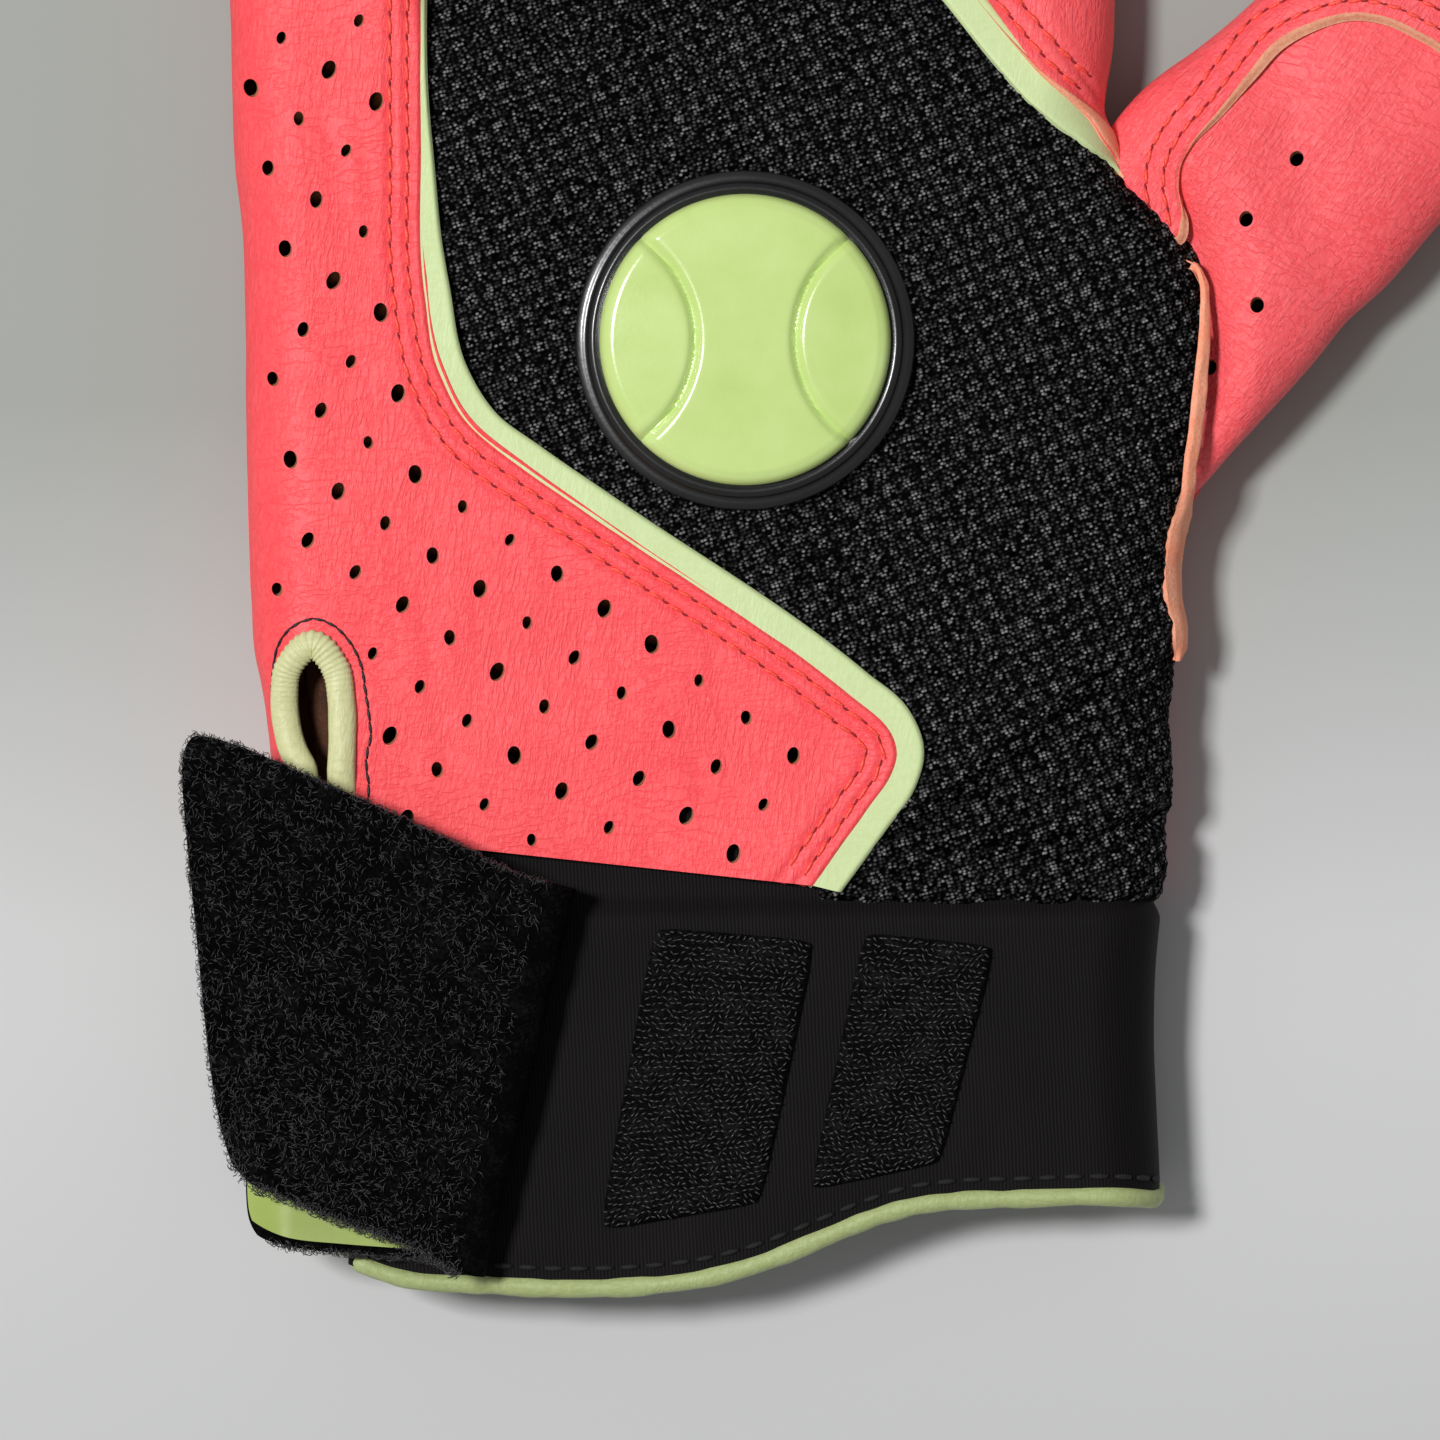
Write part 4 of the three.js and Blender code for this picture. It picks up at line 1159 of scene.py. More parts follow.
def raw_edge_plan(u, v):
    y = STRIP_START + v * STRIP_RUN
    start = unroll(strip_inner(y), y)
    rolled_end = side_seam(y, 1, 0) + ROLL * (mesh_turn(y) + 0.06)
    end = rolled_end + smooth((y + 9) / 4) * (unroll(strip_outer(y), y) - rolled_end)
    end = start + (end - start) * (0.1 + 0.9 * smooth(v / 0.05))
    x = start + (end - start) * u
    lump = 0.1 * ripple(x * 2, y, 1.3, 31) + 0.08 * ripple(x, y, 2.6, 32)
    rounding, end_dive = 0.4 * bell(np.minimum(u, 1 - u) * 2, 0.22), 2.2 * bell(1 - v, 0.014)
    return x, y, 0.7 - rounding + lump - end_dive


raw_edge = thicken(panel("thumb_side_raw_edge", 12, 90, raw_edge_plan, hand_back, salmon_edge), 0.8)
dress(raw_edge, "hand", "raw_leather_edge", "thumb_side_edge")

# %% [markdown]
# **The badge.** A black moulded disc is welded to the mesh and carries a glossy lime insert. Both are
# turned shapes, so each is one profile that is spun round the badge's axis. Two curved grooves are then
# pressed into the insert by lowering the points near two circles. The badge is plain on purpose.

# %% Badge
BADGE_LOW, BADGE_HIGH = solid_box("badge_base")
BADGE_CENTRE = (BADGE_LOW + BADGE_HIGH) / 2
BADGE_RADIUS = (BADGE_HIGH - BADGE_LOW)[0] / 2
BADGE_FLOOR = 15.55
BADGE_FOOT = 13.5
INSERT_LOW, INSERT_HIGH = solid_box("badge_insert")
INSERT_RADIUS = (INSERT_HIGH - INSERT_LOW)[0] / 2
INSERT_TOP = INSERT_HIGH[2]
INSERT_FOOT = 15.3
GROOVE_PLACE = 17
GROOVE_RADIUS = 12
GROOVE_WIDTH = 0.42
GROOVE_DEPTH = 0.75


def turned(name, profile, centre, finish, steps=160):
    """A profile of (radius, height) points, spun round an upright axis."""
    draft = bmesh.new()
    corners = [draft.verts.new((centre[0] + radius, centre[1], height)) for radius, height in profile]
    edges = [draft.edges.new(pair) for pair in zip(corners[:-1], corners[1:])]
    spin = {"cent": (centre[0], centre[1], 0), "axis": (0, 0, 1), "angle": math.tau, "steps": steps}
    bmesh.ops.spin(draft, geom=corners + edges, use_merge=True, **spin)
    bmesh.ops.remove_doubles(draft, verts=draft.verts, dist=1e-4)
    bmesh.ops.scale(draft, vec=(MM, MM, MM), verts=draft.verts)
    bmesh.ops.recalc_face_normals(draft, faces=draft.faces)
    return add_object(name, draft, finish)


rim = [(3, BADGE_FLOOR), (2.3, 15.62), (1.8, 15.75), (1.35, 15.5), (1.1, 15.1), (0.5, 14.95), (0.1, 14.75),
       (0, 14.3), (0.2, 13.7)]
rim_line = trace([(BADGE_RADIUS - inwards, height) for inwards, height in rim], 40)
base_line = [(0, BADGE_FLOOR), *rim_line, (0, BADGE_FOOT)]
base = turned("badge_base_moulding", base_line, BADGE_CENTRE, black_moulding)
dress(settle(base), "hand", "black_moulding", "badge_base")

flat = np.linspace(0, INSERT_RADIUS - 1.2, 56)
top_line = [(radius, INSERT_TOP - 0.5 * (radius / INSERT_RADIUS) ** 2.5) for radius in flat]
side_line = trace([top_line[-1], (INSERT_RADIUS - 0.45, INSERT_TOP - 0.75), (INSERT_RADIUS, INSERT_TOP - 1.4),
                   (INSERT_RADIUS + 0.05, INSERT_FOOT)], 16)[1:]
insert_line = [*top_line, *side_line, (0, INSERT_FOOT)]
insert = turned("badge_insert_moulding", insert_line, BADGE_CENTRE, lime_moulding, 220)
points = read_points(insert.data) / MM
reach = np.abs(points[:, 0] - BADGE_CENTRE[0])
ring = np.hypot(GROOVE_PLACE - reach, points[:, 1] - BADGE_CENTRE[1])
points[:, 2] -= GROOVE_DEPTH * bell(ring - GROOVE_RADIUS, GROOVE_WIDTH) * (points[:, 2] > INSERT_FOOT + 0.3)
write_points(insert.data, points)
dress(settle(insert), "hand", "lime_moulding", "badge_insert")

# %% [markdown]
# **The cuff.** Two panels of ribbed stretch cloth make the cuff, one on the back and one on the palm side.
# The palm one also comes up over the left side, as far as the slit. They start under the leather and the
# mesh. The same function gives the line of the hem for the cloth, its binding and its stitches.

# %% Cuff panels
hem_line = through([(-45, -79.2), (-38.4, -82), (-31.8, -84.4), (-24, -85), (-14.8, -85.4), (-8.7, -85.2),
                    (-2.6, -84.5), (3.5, -82.9), (9.7, -80.4), (14.1, -78.6), (18.7, -77.2), (23.3, -76.6),
                    (29.4, -76.4), (38.6, -76.2), (44.5, -76.6)])
HEM_SPAN = (-45, 44.5)
CUFF_TOP = -36.5
CUFF_MIDDLE = -60
CUFF_WALL = 1.6
SLIT_SIDES = (-43.2, -37.2)
PALM_RISE = 0.8


def cuff_height(x, y):
    tuck = smooth((-45.2 - y) / 3)
    return -1.4 + 1.3 * tuck + 0.1 * ripple(x, y, 9, 41) + 0.05 * ripple(x * 2, y, 5, 42)


def cuff_plan(start, rise):
    """Rows from the hem up, and columns from a starting line round to the seam at the right side."""

    def plan(u, v):
        hem_x = start + u * (side_seam(CUFF_MIDDLE, 1) - start)
        low = hem_line(np.clip(hem_x, *HEM_SPAN)) + rise * smooth((hem_x - HEM_SPAN[0]) / 12)
        y = low + v * (CUFF_TOP - low)
        x = start + u * (side_seam(y, 1) - start)
        return x, y, cuff_height(x, y)

    return plan


palm_start = side_seam(CUFF_MIDDLE, -1, math.pi) - (SLIT_SIDES[0] - left_edge(CUFF_MIDDLE))
cuff_back_plan, cuff_palm_plan = cuff_plan(SLIT_SIDES[1], 0), cuff_plan(palm_start, PALM_RISE)
cuff_back = thicken(panel("cuff_back", 110, 60, cuff_back_plan, hand_back, black_knit), CUFF_WALL)
dress(cuff_back, "hand", "black_knit", "cuff_back_panel")
cuff_palm = panel("cuff_palm", 130, 60, cuff_palm_plan, hand_palm, black_knit, turned=True)
dress(thicken(cuff_palm, CUFF_WALL), "hand", "black_knit", "cuff_palm_panel")

# %% [markdown]
# **Hem binding.** A narrow lime strip folds over the raw end of the cuff all the way round its mouth. It is
# one soft roll whose path runs along the back, round the right side, along the palm and up on the left.

# %% Hem binding and its stitches
HEM_RISE = 0.55
HEM_STITCH_RISE = 2.5


def mouth(form, plan, count):
    """The middle of the cloth along the cuff's mouth, and which way is outwards there."""
    u = np.linspace(0, 1, count)
    x, y, lift = plan(u, 0 * u)
    y = y + HEM_RISE
    return form(x, y, lift - CUFF_WALL / 2), form(x, y, lift + 1) - form(x, y, lift)


back_mouth, back_up = mouth(hand_back, cuff_back_plan, 150)
palm_mouth, palm_up = mouth(hand_palm, cuff_palm_plan, 190)
mouth_path = np.concatenate([back_mouth[:-1], palm_mouth[::-1]])
mouth_up = np.concatenate([back_up[:-1], palm_up[::-1]])
ragged = 1.05 + 0.1 * ripple(np.arange(len(mouth_path)) * 0.6, 0.0, 1.9, 44)
# The binding's darker lime is painted shade where it turns down.
hem = piping("hem_binding", mouth_path, mouth_up, ragged, CUFF_WALL / 2 + 0.45, lime_hem, 18)
dress(hem, "hand", "lime_leather", "cuff_hem_binding")
u = np.linspace(0.02, 0.98, 200)
hem_x, hem_y, _ = cuff_back_plan(u, 0 * u)
hem_y = hem_y + HEM_STITCH_RISE
hem_row = hand_back(hem_x, hem_y, cuff_height(hem_x, hem_y) + 0.1)
dress(stitches("hem_stitches", [hem_row], 2.5, 2.2, 0.62, cuff_thread), "hand", "black_knit")

# %% [markdown]
# ** The slit.** A rolled lime binding edges the slit. It stands proud of the leather round the top of the slit and flattens where the strap covers it. Where the roll turns round the top it is gathered, so its thickness ripples there. A black thread runs along its outer edge, and a dark brown sheet of painted shade lies below the opening.

# %% Slit binding
left_leg = trace([(-43, -79.5), (-42.2, -60), (-41.5, -40)], 30)
right_leg = trace([(-37.8, -40), (-37.7, -60), (-37.7, -79.5)], 30)
slit_path = np.concatenate([left_leg, trace(SLIT_PATH[1:-1], 280), right_leg])
proud = smooth((slit_path[:, 1] + 41) / 5)
gather = bell(slit_path[:, 1] + 20.6, 3.4) * np.sin(np.arange(len(slit_path)) * 1.35)
slit_roll = on_back(slit_path, -0.85 + 1.25 * proud)
slit_tall = 0.42 + 0.5 * proud + 0.06 * gather
slit_wide = 1.4 + 0.1 * gather + 0.05 * ripple(slit_path[:, 1], slit_path[:, 0], 1.1, 45)
slit_binding = piping("slit_roll", slit_roll, (0, 0, 1), slit_wide, slit_tall, lime_binding, 18)
dress(slit_binding, "hand", "lime_leather", "slit_binding")
thread_line = trace([(-44, -31.7), (-44.35, -29.9), (-44.75, -27.7), (-44.85, -25.5), (-44.6, -22.8),
                     (-44, -20.4), (-42.8, -18.8), (-40.6, -17.9), (-38.8, -18.5), (-37, -20.3),
                     (-36, -22.3), (-35.5, -25.1), (-35.1, -27.9), (-35, -29.9), (-35.3, -31.2),
                     (-35.4, -32.9), (-35.2, -34.2), (-35.3, -37)], 160)
thread_path = on_back(thread_line, pinky_height(*thread_line.T) + 0.06)
slit_thread = stitches("slit_thread", [thread_path], 1.25, 1.5, 0.32, black_thread, slant=0.06)
dress(slit_thread, "hand", "black_knit")


# A dark sheet inside the glove under the slit: painted shade.
def under_slit_shade_plan(u, v):
    return -45 + 9 * u, -47 + 29 * v, -4.2 + 0.3 * np.cos(u * 9)


shade_sheet_under_slit = panel("under_slit_shade_sheet", 20, 60, under_slit_shade_plan, hand_back, slit_shade_suede)
dress(thicken(shade_sheet_under_slit, 0.6), "hand", "raw_leather_edge")

# %% [markdown]
# **Hook tape.** Two slanted pads of hook tape are sewn to the cuff. Each is a thin woven ground with
# hundreds of nylon hooks. A hook is half of a small ring, made by spinning a circle half a turn, and copied
# along rows.

# %% Hook pads
HOOK_SLANT = 5.5
HOOK_PITCH = (0.62, 0.66)


def pad_place(node, u, v):
    """A place on a slanted pad. The corners are drawn in a little, so that they are round."""
    low, high = solid_box(node)
    a, b = 2 * u - 1, 2 * v - 1
    u = (a * np.sqrt(1 - 0.09 * b**8) + 1) / 2
    v = (b * np.sqrt(1 - 0.05 * a**8) + 1) / 2
    left = low[0] + HOOK_SLANT * v
    right = high[0] - HOOK_SLANT * (1 - v)
    bottom = low[1] + HOOK_SLANT / 2 * u
    top = high[1] - HOOK_SLANT / 4 * u
    return left + u * (right - left), bottom + v * (top - bottom)


def hook_pad(node):
    """A woven ground with rows of hooks that lean to and fro."""

    def plan(u, v):
        x, y = pad_place(node, u, v)
        rim = np.minimum(np.minimum(u, 1 - u) * 15, np.minimum(v, 1 - v) * 26)
        return x, y, 0.75 - 0.5 * bell(rim, 0.3) + 0.05 * ripple(x, y, 1.2, 51)

    ground = thicken(panel(node + "_ground", 34, 50, plan, hand_back, hook_tape), 0.8)
    dress(ground, "hand", "hook_tape", node)
    low, high = solid_box(node)
    columns = int((high[0] - low[0] - HOOK_SLANT) / HOOK_PITCH[0])
    rows = int((high[1] - low[1]) / HOOK_PITCH[1])
    i, j = np.meshgrid(np.arange(columns), np.arange(rows))
    loose = np.random.default_rng(7).random((2, i.size)) * 0.45
    u = (i.ravel() + 0.3 + 0.4 * (j.ravel() % 2) + loose[0]) / (columns + 0.6)
    v = (j.ravel() + 0.4 + loose[1]) / (rows + 0.3)
    x, y = pad_place(node, u, v)
    turn = 1.3 * ripple(x, y, 0.7, 52) + math.pi * (i.ravel() % 2)
    across = np.stack([np.cos(turn), np.sin(turn), 0 * turn], 1)
    ahead = np.stack([-np.sin(turn), np.cos(turn), 0 * turn], 1)
    axes = np.stack([across, ahead, np.broadcast_to([0.0, 0.0, 1.0], across.shape)], 1)
    hook = arc_template(0.085, 0.22, 5, math.pi * 0.9, 5)
    hooks = copies(node + "_hooks", hook, hand_back(x, y, 0.7), axes, glinting_nylon_fibre)
    dress(hooks, "hand", "hook_tape")


hook_pad("hook_patch_inner")
hook_pad("hook_patch_outer")

# %% [markdown]
# **The strap.** It is two sheets sewn back to back: glossy lime on the side that shows when the strap is
# closed, and black loop pile on the other. It lies open here, folded back on itself, so the lime is inside
# the fold. Places on the strap are given by how far they are from the fold line and how far along it. One
# form then bends both sheets round the hinge axis, each at its own distance from it.

# %% Form of the strap
SWING = JOINTS["strap_swing"]
FOLD_ALONG = np.array(SWING["axis"][:2])
FOLD_LEFT = np.array([-FOLD_ALONG[1], FOLD_ALONG[0]])
FOLD_POINT = np.array(SWING["pos_m"]) / MM
LIME_REACH = 0.95
PILE_REACH = 2.75
BEND = (0.3, 0.5)
BEND_RADIUS = (LIME_REACH + PILE_REACH) / 2
FLAP_TOP = [(-17.2, -44.2), (-20.8, -43.1), (-25.4, -40.7), (-34.6, -36.4), (-40.8, -33.6), (-45.6, -31.4),
            (-49.4, -29.7), (-53.5, -27.8)]
FLAP_BOTTOM = [(-26.2, -83), (-30.5, -80.5), (-35.9, -78.5), (-39.6, -77), (-43.6, -75.4), (-47, -74.2),
               (-49.7, -72.2)]
FLAP_LEFT = [(-49.7, -72.2), (-49.9, -69.8), (-50.8, -62), (-51.7, -51.3), (-52.3, -44.4), (-52.9, -38),
             (-53.3, -33.2), (-53.5, -27.8)]
ROOT_TOP = [(-17.2, -44.2), (-30, -43.6), (-40, -43.4), (-48, -43.4)]
ROOT_BOTTOM = [(-26.2, -82.8), (-29.2, -81.9), (-33, -81.6), (-38.1, -81.2), (-43.3, -80.6),
               (-47.4, -79.2)]
FLAP_CORNER = (0.042, 0.05)
ROOT_CORNER = (0.06, 0.02)


def from_fold(points):
    """Flat places as (distance to the left of the fold, distance along it)."""
    away = np.array(points, float) - FOLD_POINT[:2]
    return np.stack([away @ FOLD_LEFT, away @ FOLD_ALONG], 1)


flap_top, flap_bottom = through(from_fold(FLAP_TOP)), through(from_fold(FLAP_BOTTOM))
root_top, root_bottom = through(from_fold(ROOT_TOP)), through(from_fold(ROOT_BOTTOM))
away, run = from_fold(FLAP_LEFT).T
flap_left = through(np.stack([(run - run[0]) / np.ptp(run), away], 1))
root_left = through([(0, from_fold(ROOT_BOTTOM)[-1, 0]), (1, from_fold(ROOT_TOP)[-1, 0])])


def round_corner(share, v, corner, power):
    """Draw the two far corners of the strap in, so that they are round."""
    side = 2 * v - 1
    drawn = share * (1 - corner[0] * side**power)
    return drawn, (side * (1 - corner[1] * share**power) + 1) / 2


def strap_plan(u, v):
    root_share, root_v = round_corner(np.clip(1 - u / BEND[0], 0, 1), v, ROOT_CORNER, 20)
    flap_share, flap_v = round_corner(np.clip((u - BEND[1]) / (1 - BEND[1]), 0, 1), v, FLAP_CORNER, 14)
    root, flap = root_share * root_left(v), flap_share * flap_left(v)
    turn = np.clip((u - BEND[0]) / (BEND[1] - BEND[0]), 0, 1) * math.pi
    root_along = root_bottom(root) + root_v * (root_top(root) - root_bottom(root))
    flap_along = flap_bottom(flap) + flap_v * (flap_top(flap) - flap_bottom(flap))
    along = root_along + smooth(turn / math.pi) * (flap_along - root_along)
    return flap - root + turn * BEND_RADIUS, along, 0.12 * ripple(flap - root, along, 2.2, 61)


def strap_form(reach):
    """The form of one sheet of the strap, at its own distance from the hinge axis."""

    def form(run, along, lift):
        turn = np.clip(run / BEND_RADIUS, 0, math.pi)
        root = np.clip(-run, 0, None)
        flap = np.clip(run - math.pi * BEND_RADIUS, 0, None)
        left = root + flap - (reach + lift) * np.sin(turn)
        flat = FOLD_POINT[:2] + np.multiply.outer(left, FOLD_LEFT) + np.multiply.outer(along, FOLD_ALONG)
        wave = (ripple(flap, along, 13, 62) + 1) * 0.35 * smooth(flap / 12)
        sag = 3.2 * smooth((-42.4 - flat[:, 0]) / 6) ** 1.5 * (root > 0)
        height = FOLD_POINT[2] - (reach + lift) * np.cos(turn) + wave - sag
        return np.column_stack([flat, height])

    return form


print("fold line to the left edge of the flap:", round(float(flap_left(0.5)), 1), "mm")

# %% [markdown]
# Both sheets are drawn bent round the hinge axis: below it they lie on the hand, above it they lie on the open
# flap, and the part between turns by degrees. They are not tied to the hinge. The lime sheet faces the axis and
# the pile faces away from it.

# %% Strap sheets
SHEET = 0.9


def bend_with_strap(piece):
    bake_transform(piece)


def lime_plan(u, v):
    run, along, lift = strap_plan(0.992 * u, 0.024 + 0.952 * v)
    return run, along, 0.25 * lift


def pile_plan(u, v):
    return strap_plan(0.006 + 0.994 * u, v)


# The lime sheet's darker lime is painted shade where the flap hangs over it.
lime_sheet = panel("strap_lime", 150, 80, lime_plan, strap_form(LIME_REACH), shaded_lime_lining)
bend_with_strap(thicken(lime_sheet, SHEET))
label(lime_sheet, "lime_leather", "strap_root_face", "strap_flap_face")
pile_sheet = panel("strap_pile", 190, 120, pile_plan, strap_form(PILE_REACH), loop_pile, turned=True)
bend_with_strap(thicken(pile_sheet, SHEET))
label(pile_sheet, "black_loop", "strap_root_loop", "strap_flap_loop", "strap_fold")

# %% [markdown]
# Loop pile is a felt of fine curls. The felt is in the material, and the loose curls that catch the light
# and make the edges fuzzy are small arcs. They are scattered by a fixed rule, so that every run gives the
# same fur.

# %% Curls of the pile
CURLS = 5400
EDGE_CURLS = 1500
FRINGE_CURLS = 420


def scatter(count, seed):
    """Four random numbers from 0 to 1 for each curl. A fixed seed keeps them the same in every run."""
    return np.random.default_rng(seed).random((count, 4))


def curls(name, places, seed, size=1.0):
    chance = scatter(len(places), seed)
    turn, lean = chance[:, 2] * math.tau, (chance[:, 3] - 0.5) * 1.6
    grow = (size * (0.35 + 0.75 * scatter(len(places), seed + 5)[:, 2]))[:, None]
    across = np.stack([np.cos(turn), np.sin(turn), 0 * turn], 1)
    side = np.stack([-np.sin(turn) * np.cos(lean), np.cos(turn) * np.cos(lean), np.sin(lean)], 1)
    axes = np.stack([across * grow, side, np.cross(across, side) * grow], 1)
    return copies(name, arc_template(0.04, 0.5, 3, 2.4, 4), places, axes, glinting_nylon_fibre)


chance = scatter(CURLS, 1)
run, along, lift = strap_plan(BEND[1] + (1 - BEND[1]) * chance[:, 0] ** 0.9 * 0.995, chance[:, 1])
flap_curls = strap_form(PILE_REACH)(run, along, lift - 0.12)
edge = scatter(EDGE_CURLS, 2)
side = np.floor(edge[:, 0] * 3)
edge_u = np.where(side == 0, 1.0, BEND[1] + (1 - BEND[1]) * edge[:, 1])
edge_v = np.where(side == 0, edge[:, 1], side - 1)
run, along, lift = strap_plan(edge_u, edge_v)
edge_curls = strap_form(PILE_REACH)(run, along, lift - 0.9 * edge[:, 2])
curl_sizes = np.concatenate([np.ones(CURLS), np.where(side == 1, 1.7, 1.0)])
curl_places = np.concatenate([flap_curls, edge_curls])
dress(curls("flap_curls", curl_places, 3, curl_sizes), "strap_flap", "black_loop")
fringe = scatter(FRINGE_CURLS, 4)
run, along, lift = strap_plan(0.02 + 0.26 * fringe[:, 0], 0 * fringe[:, 1])
root_curls = strap_form(PILE_REACH)(run, along, lift - 0.7 * fringe[:, 1])
dress(curls("root_curls", root_curls, 6, 1.3), "hand", "black_loop")

# %% [markdown]
# **Palm.** The palm is one leather panel that runs from the wrist to the finger roots and comes up the
# sides to meet the back. It is the same kind of rolled sheet, turned over.

# %% Palm leather
PALM_START = -44.8
PALM_CORNER = 3.9
PALM_TURN = 1.5
HEAD_CREASE = [(38, 22), (10, 30), (-20, 34), (-46, 30)]
THUMB_CREASE = [(30, 26), (12, 10), (2, -14), (-2, -40)]


def palm_plan(u, v):
    row_y = PALM_START + v * PANEL_RUN
    left = side_seam(row_y, -1, PALM_TURN)
    right = side_seam(row_y, 1, PALM_TURN - 0.35 * smooth((-16 - row_y) / 6))
    x = left + u * (right - left)
    y = row_y + v**5 * (knuckle_y(np.clip(x, *KNUCKLE_SPAN)) - row_y)
    y = y + (1 - v) ** 6 * PALM_CORNER * (1 - smooth(u / 0.18))
    crease = bell(from_line(x, y, HEAD_CREASE), 1.6) + bell(from_line(x, y, THUMB_CREASE), 1.8)
    return x, y, 0.1 - 0.7 * crease + wrinkles(x, y, 71) - under_finger(v)


palm = panel("palm_leather", 130, 140, palm_plan, hand_palm, coral_leather, turned=True)
dress(thicken(palm, LEATHER, suede_inside), "hand", "coral_leather", "palm_panel")

# %% [markdown]
# ** Fingers and thumb.** Each is a soft tube with a slightly square section that tapers to a round tip. A place on it is given by how far along it lies and by its angle round the tube: the right side is 0, the top a quarter turn. A panel is then just a range of angles.

# %% Form of a finger
SECTION = 2.6
SQUARE = 2 / SECTION
DOME = 0.8
ROOT_STATION = -0.07
TABLE_GAP = 0.05
FINGER_LEATHER = 0.9
FOLD_PLACES = (0.38, 0.66)


def digit_form(digit):
    """The skin of a finger: station 0 is the root, DOME the start of the tip's dome and 1 the tip."""

    def form(angle, station, lift):
        shaft = np.minimum(station, DOME) / DOME
        dome = np.clip((station - DOME) / (1 - DOME), 0, 1) * math.pi / 2
        forward = digit.shaft * shaft + (digit.tip_round + lift) * np.sin(dome)
        half = digit.root_half + (digit.tip_half - digit.root_half) * shaft + lift
        tall = (digit.root_height + (digit.tip_height - digit.root_height) * shaft) / 2
        across, up = np.cos(angle), np.sin(angle)
        aside = half * np.cos(dome) * np.sign(across) * np.abs(across) ** SQUARE
        raised = (tall + lift) * np.cos(dome) ** SQUARE * np.sign(up) * np.abs(up) ** SQUARE
        return np.column_stack([digit.plan(forward, aside), np.maximum(tall + raised, TABLE_GAP)])

    return form


def digit_panel(digit, name, first, last, lift, finish, columns, folds=0.5):
    """One sewn panel of a finger, between two angles that may change along it. Its root overlaps the hand."""

    def plan(u, v):
        station = ROOT_STATION + v * (1 - ROOT_STATION)
        angle = first(station) + u * (last(station) - first(station))
        forward = station / DOME * digit.shaft
        height = lift + 0.16 * ripple(forward, angle * 7, 3, 81) + 0.1 * ripple(forward * 2, angle * 7, 3, 82)
        height = height + 0.55 * (1 - smooth((forward + 2) / 7)) * (lift > 0)
        for place in FOLD_PLACES:
            past = forward - place * digit.length
            height = height - folds * bell(past, 1.1) * np.abs(np.sin(angle))
            height = height + 0.5 * folds * bell(past - 2.4, 1.3) * np.abs(np.sin(angle))
        return angle, station, height

    piece = panel(f"{digit.name}_{name}", columns, 96, plan, digit_form(digit), finish, turned=True)
    return thicken(close_seams(piece), FINGER_LEATHER)


def bend_at_root(piece, digit, slot, *nodes):
    """Settle a piece where it is drawn and label it. It is not tied to its finger or thumb."""
    start, end = (digit.plan(forward, 0) for forward in digit.bend)
    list(start * MM)
    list(end * MM)
    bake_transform(piece)
    label(piece, slot, *nodes)


print("finger skin ready")

# %% [markdown]
# Every finger has a coral back, a coral front, and black mesh strips (fourchettes) on the sides that face
# another finger. The back lies a little proud of the strips and is stitched along its edges.

# %% Four fingers
STRIP_ANGLE = 0.34
STRIP_HALF = 0.42


def sides(digit):
    """The fourchettes of a finger: (node, the angle it is centred on)."""
    strips = [node for node in digit.nodes if "fourchette" in node]
    centre = {"little": [0.0], "index": [math.pi]}.get(digit.name, [math.pi, 0.0])
    return list(zip(sorted(strips, reverse=True), centre))


def strip_edge(station):
    """Half the angle that a fourchette covers: it runs to a point before the fingertip."""
    return STRIP_ANGLE * (1 - smooth((station - 0.6) / 0.3))


def sew_finger(digit):
    """A finger's back and front, its mesh strips, and the rows that sew them."""
    strips = sides(digit)
    has_right, has_left = (any(angle == side for _, angle in strips) for side in (0.0, math.pi))

    def right(station):
        return has_right * strip_edge(station)

    def left(station):
        return math.pi - has_left * strip_edge(station)

    back = digit_panel(digit, "back_leather", right, left, 0.4, coral_leather, 44)
    bend_at_root(back, digit, "coral_leather", digit.name + "_back")
    under = (lambda station: -left(station)), (lambda station: -right(station))
    front = digit_panel(digit, "front_leather", *under, 0.3, coral_leather, 44, folds=0.8)
    bend_at_root(front, digit, "coral_leather", digit.name + "_front")
    form = digit_form(digit)
    station = np.linspace(0.02, 0.78, 120)
    turn = np.linspace(0.6, math.pi - 0.6, 60)
    rows = [form(turn, 0 * turn - 0.045, 0 * turn + 0.95)]
    for node, angle in strips:
        edges = [lambda station, edge=angle + side: edge + 0 * station for side in (-STRIP_HALF, STRIP_HALF)]
        strip = digit_panel(digit, node.split("_", 1)[1], *edges, -0.25, black_mesh, 12)
        bend_at_root(strip, digit, "black_mesh", node)
        turn = strip_edge(station) + 0.16
        rows.append(form(turn if angle == 0 else math.pi - turn, station, 0 * station + 0.45))
    sewn = stitches(digit.name + "_stitches", rows, 2.4, 2.0, THREAD, coral_thread, up=(0.3, 0, 1))
    bend_at_root(sewn, digit, "coral_leather")


for digit in fingers:
    sew_finger(digit)

# %% [markdown]
# **The thumb** is shaped in its own frame, with distances along it and to its right. Seen from above it
# starts at a curved line on the hand, where the leather dips and is tucked under the mesh. Its height above
# any place follows the same square round section as the fingers, and its left side bulges a little beside
# the crotch.

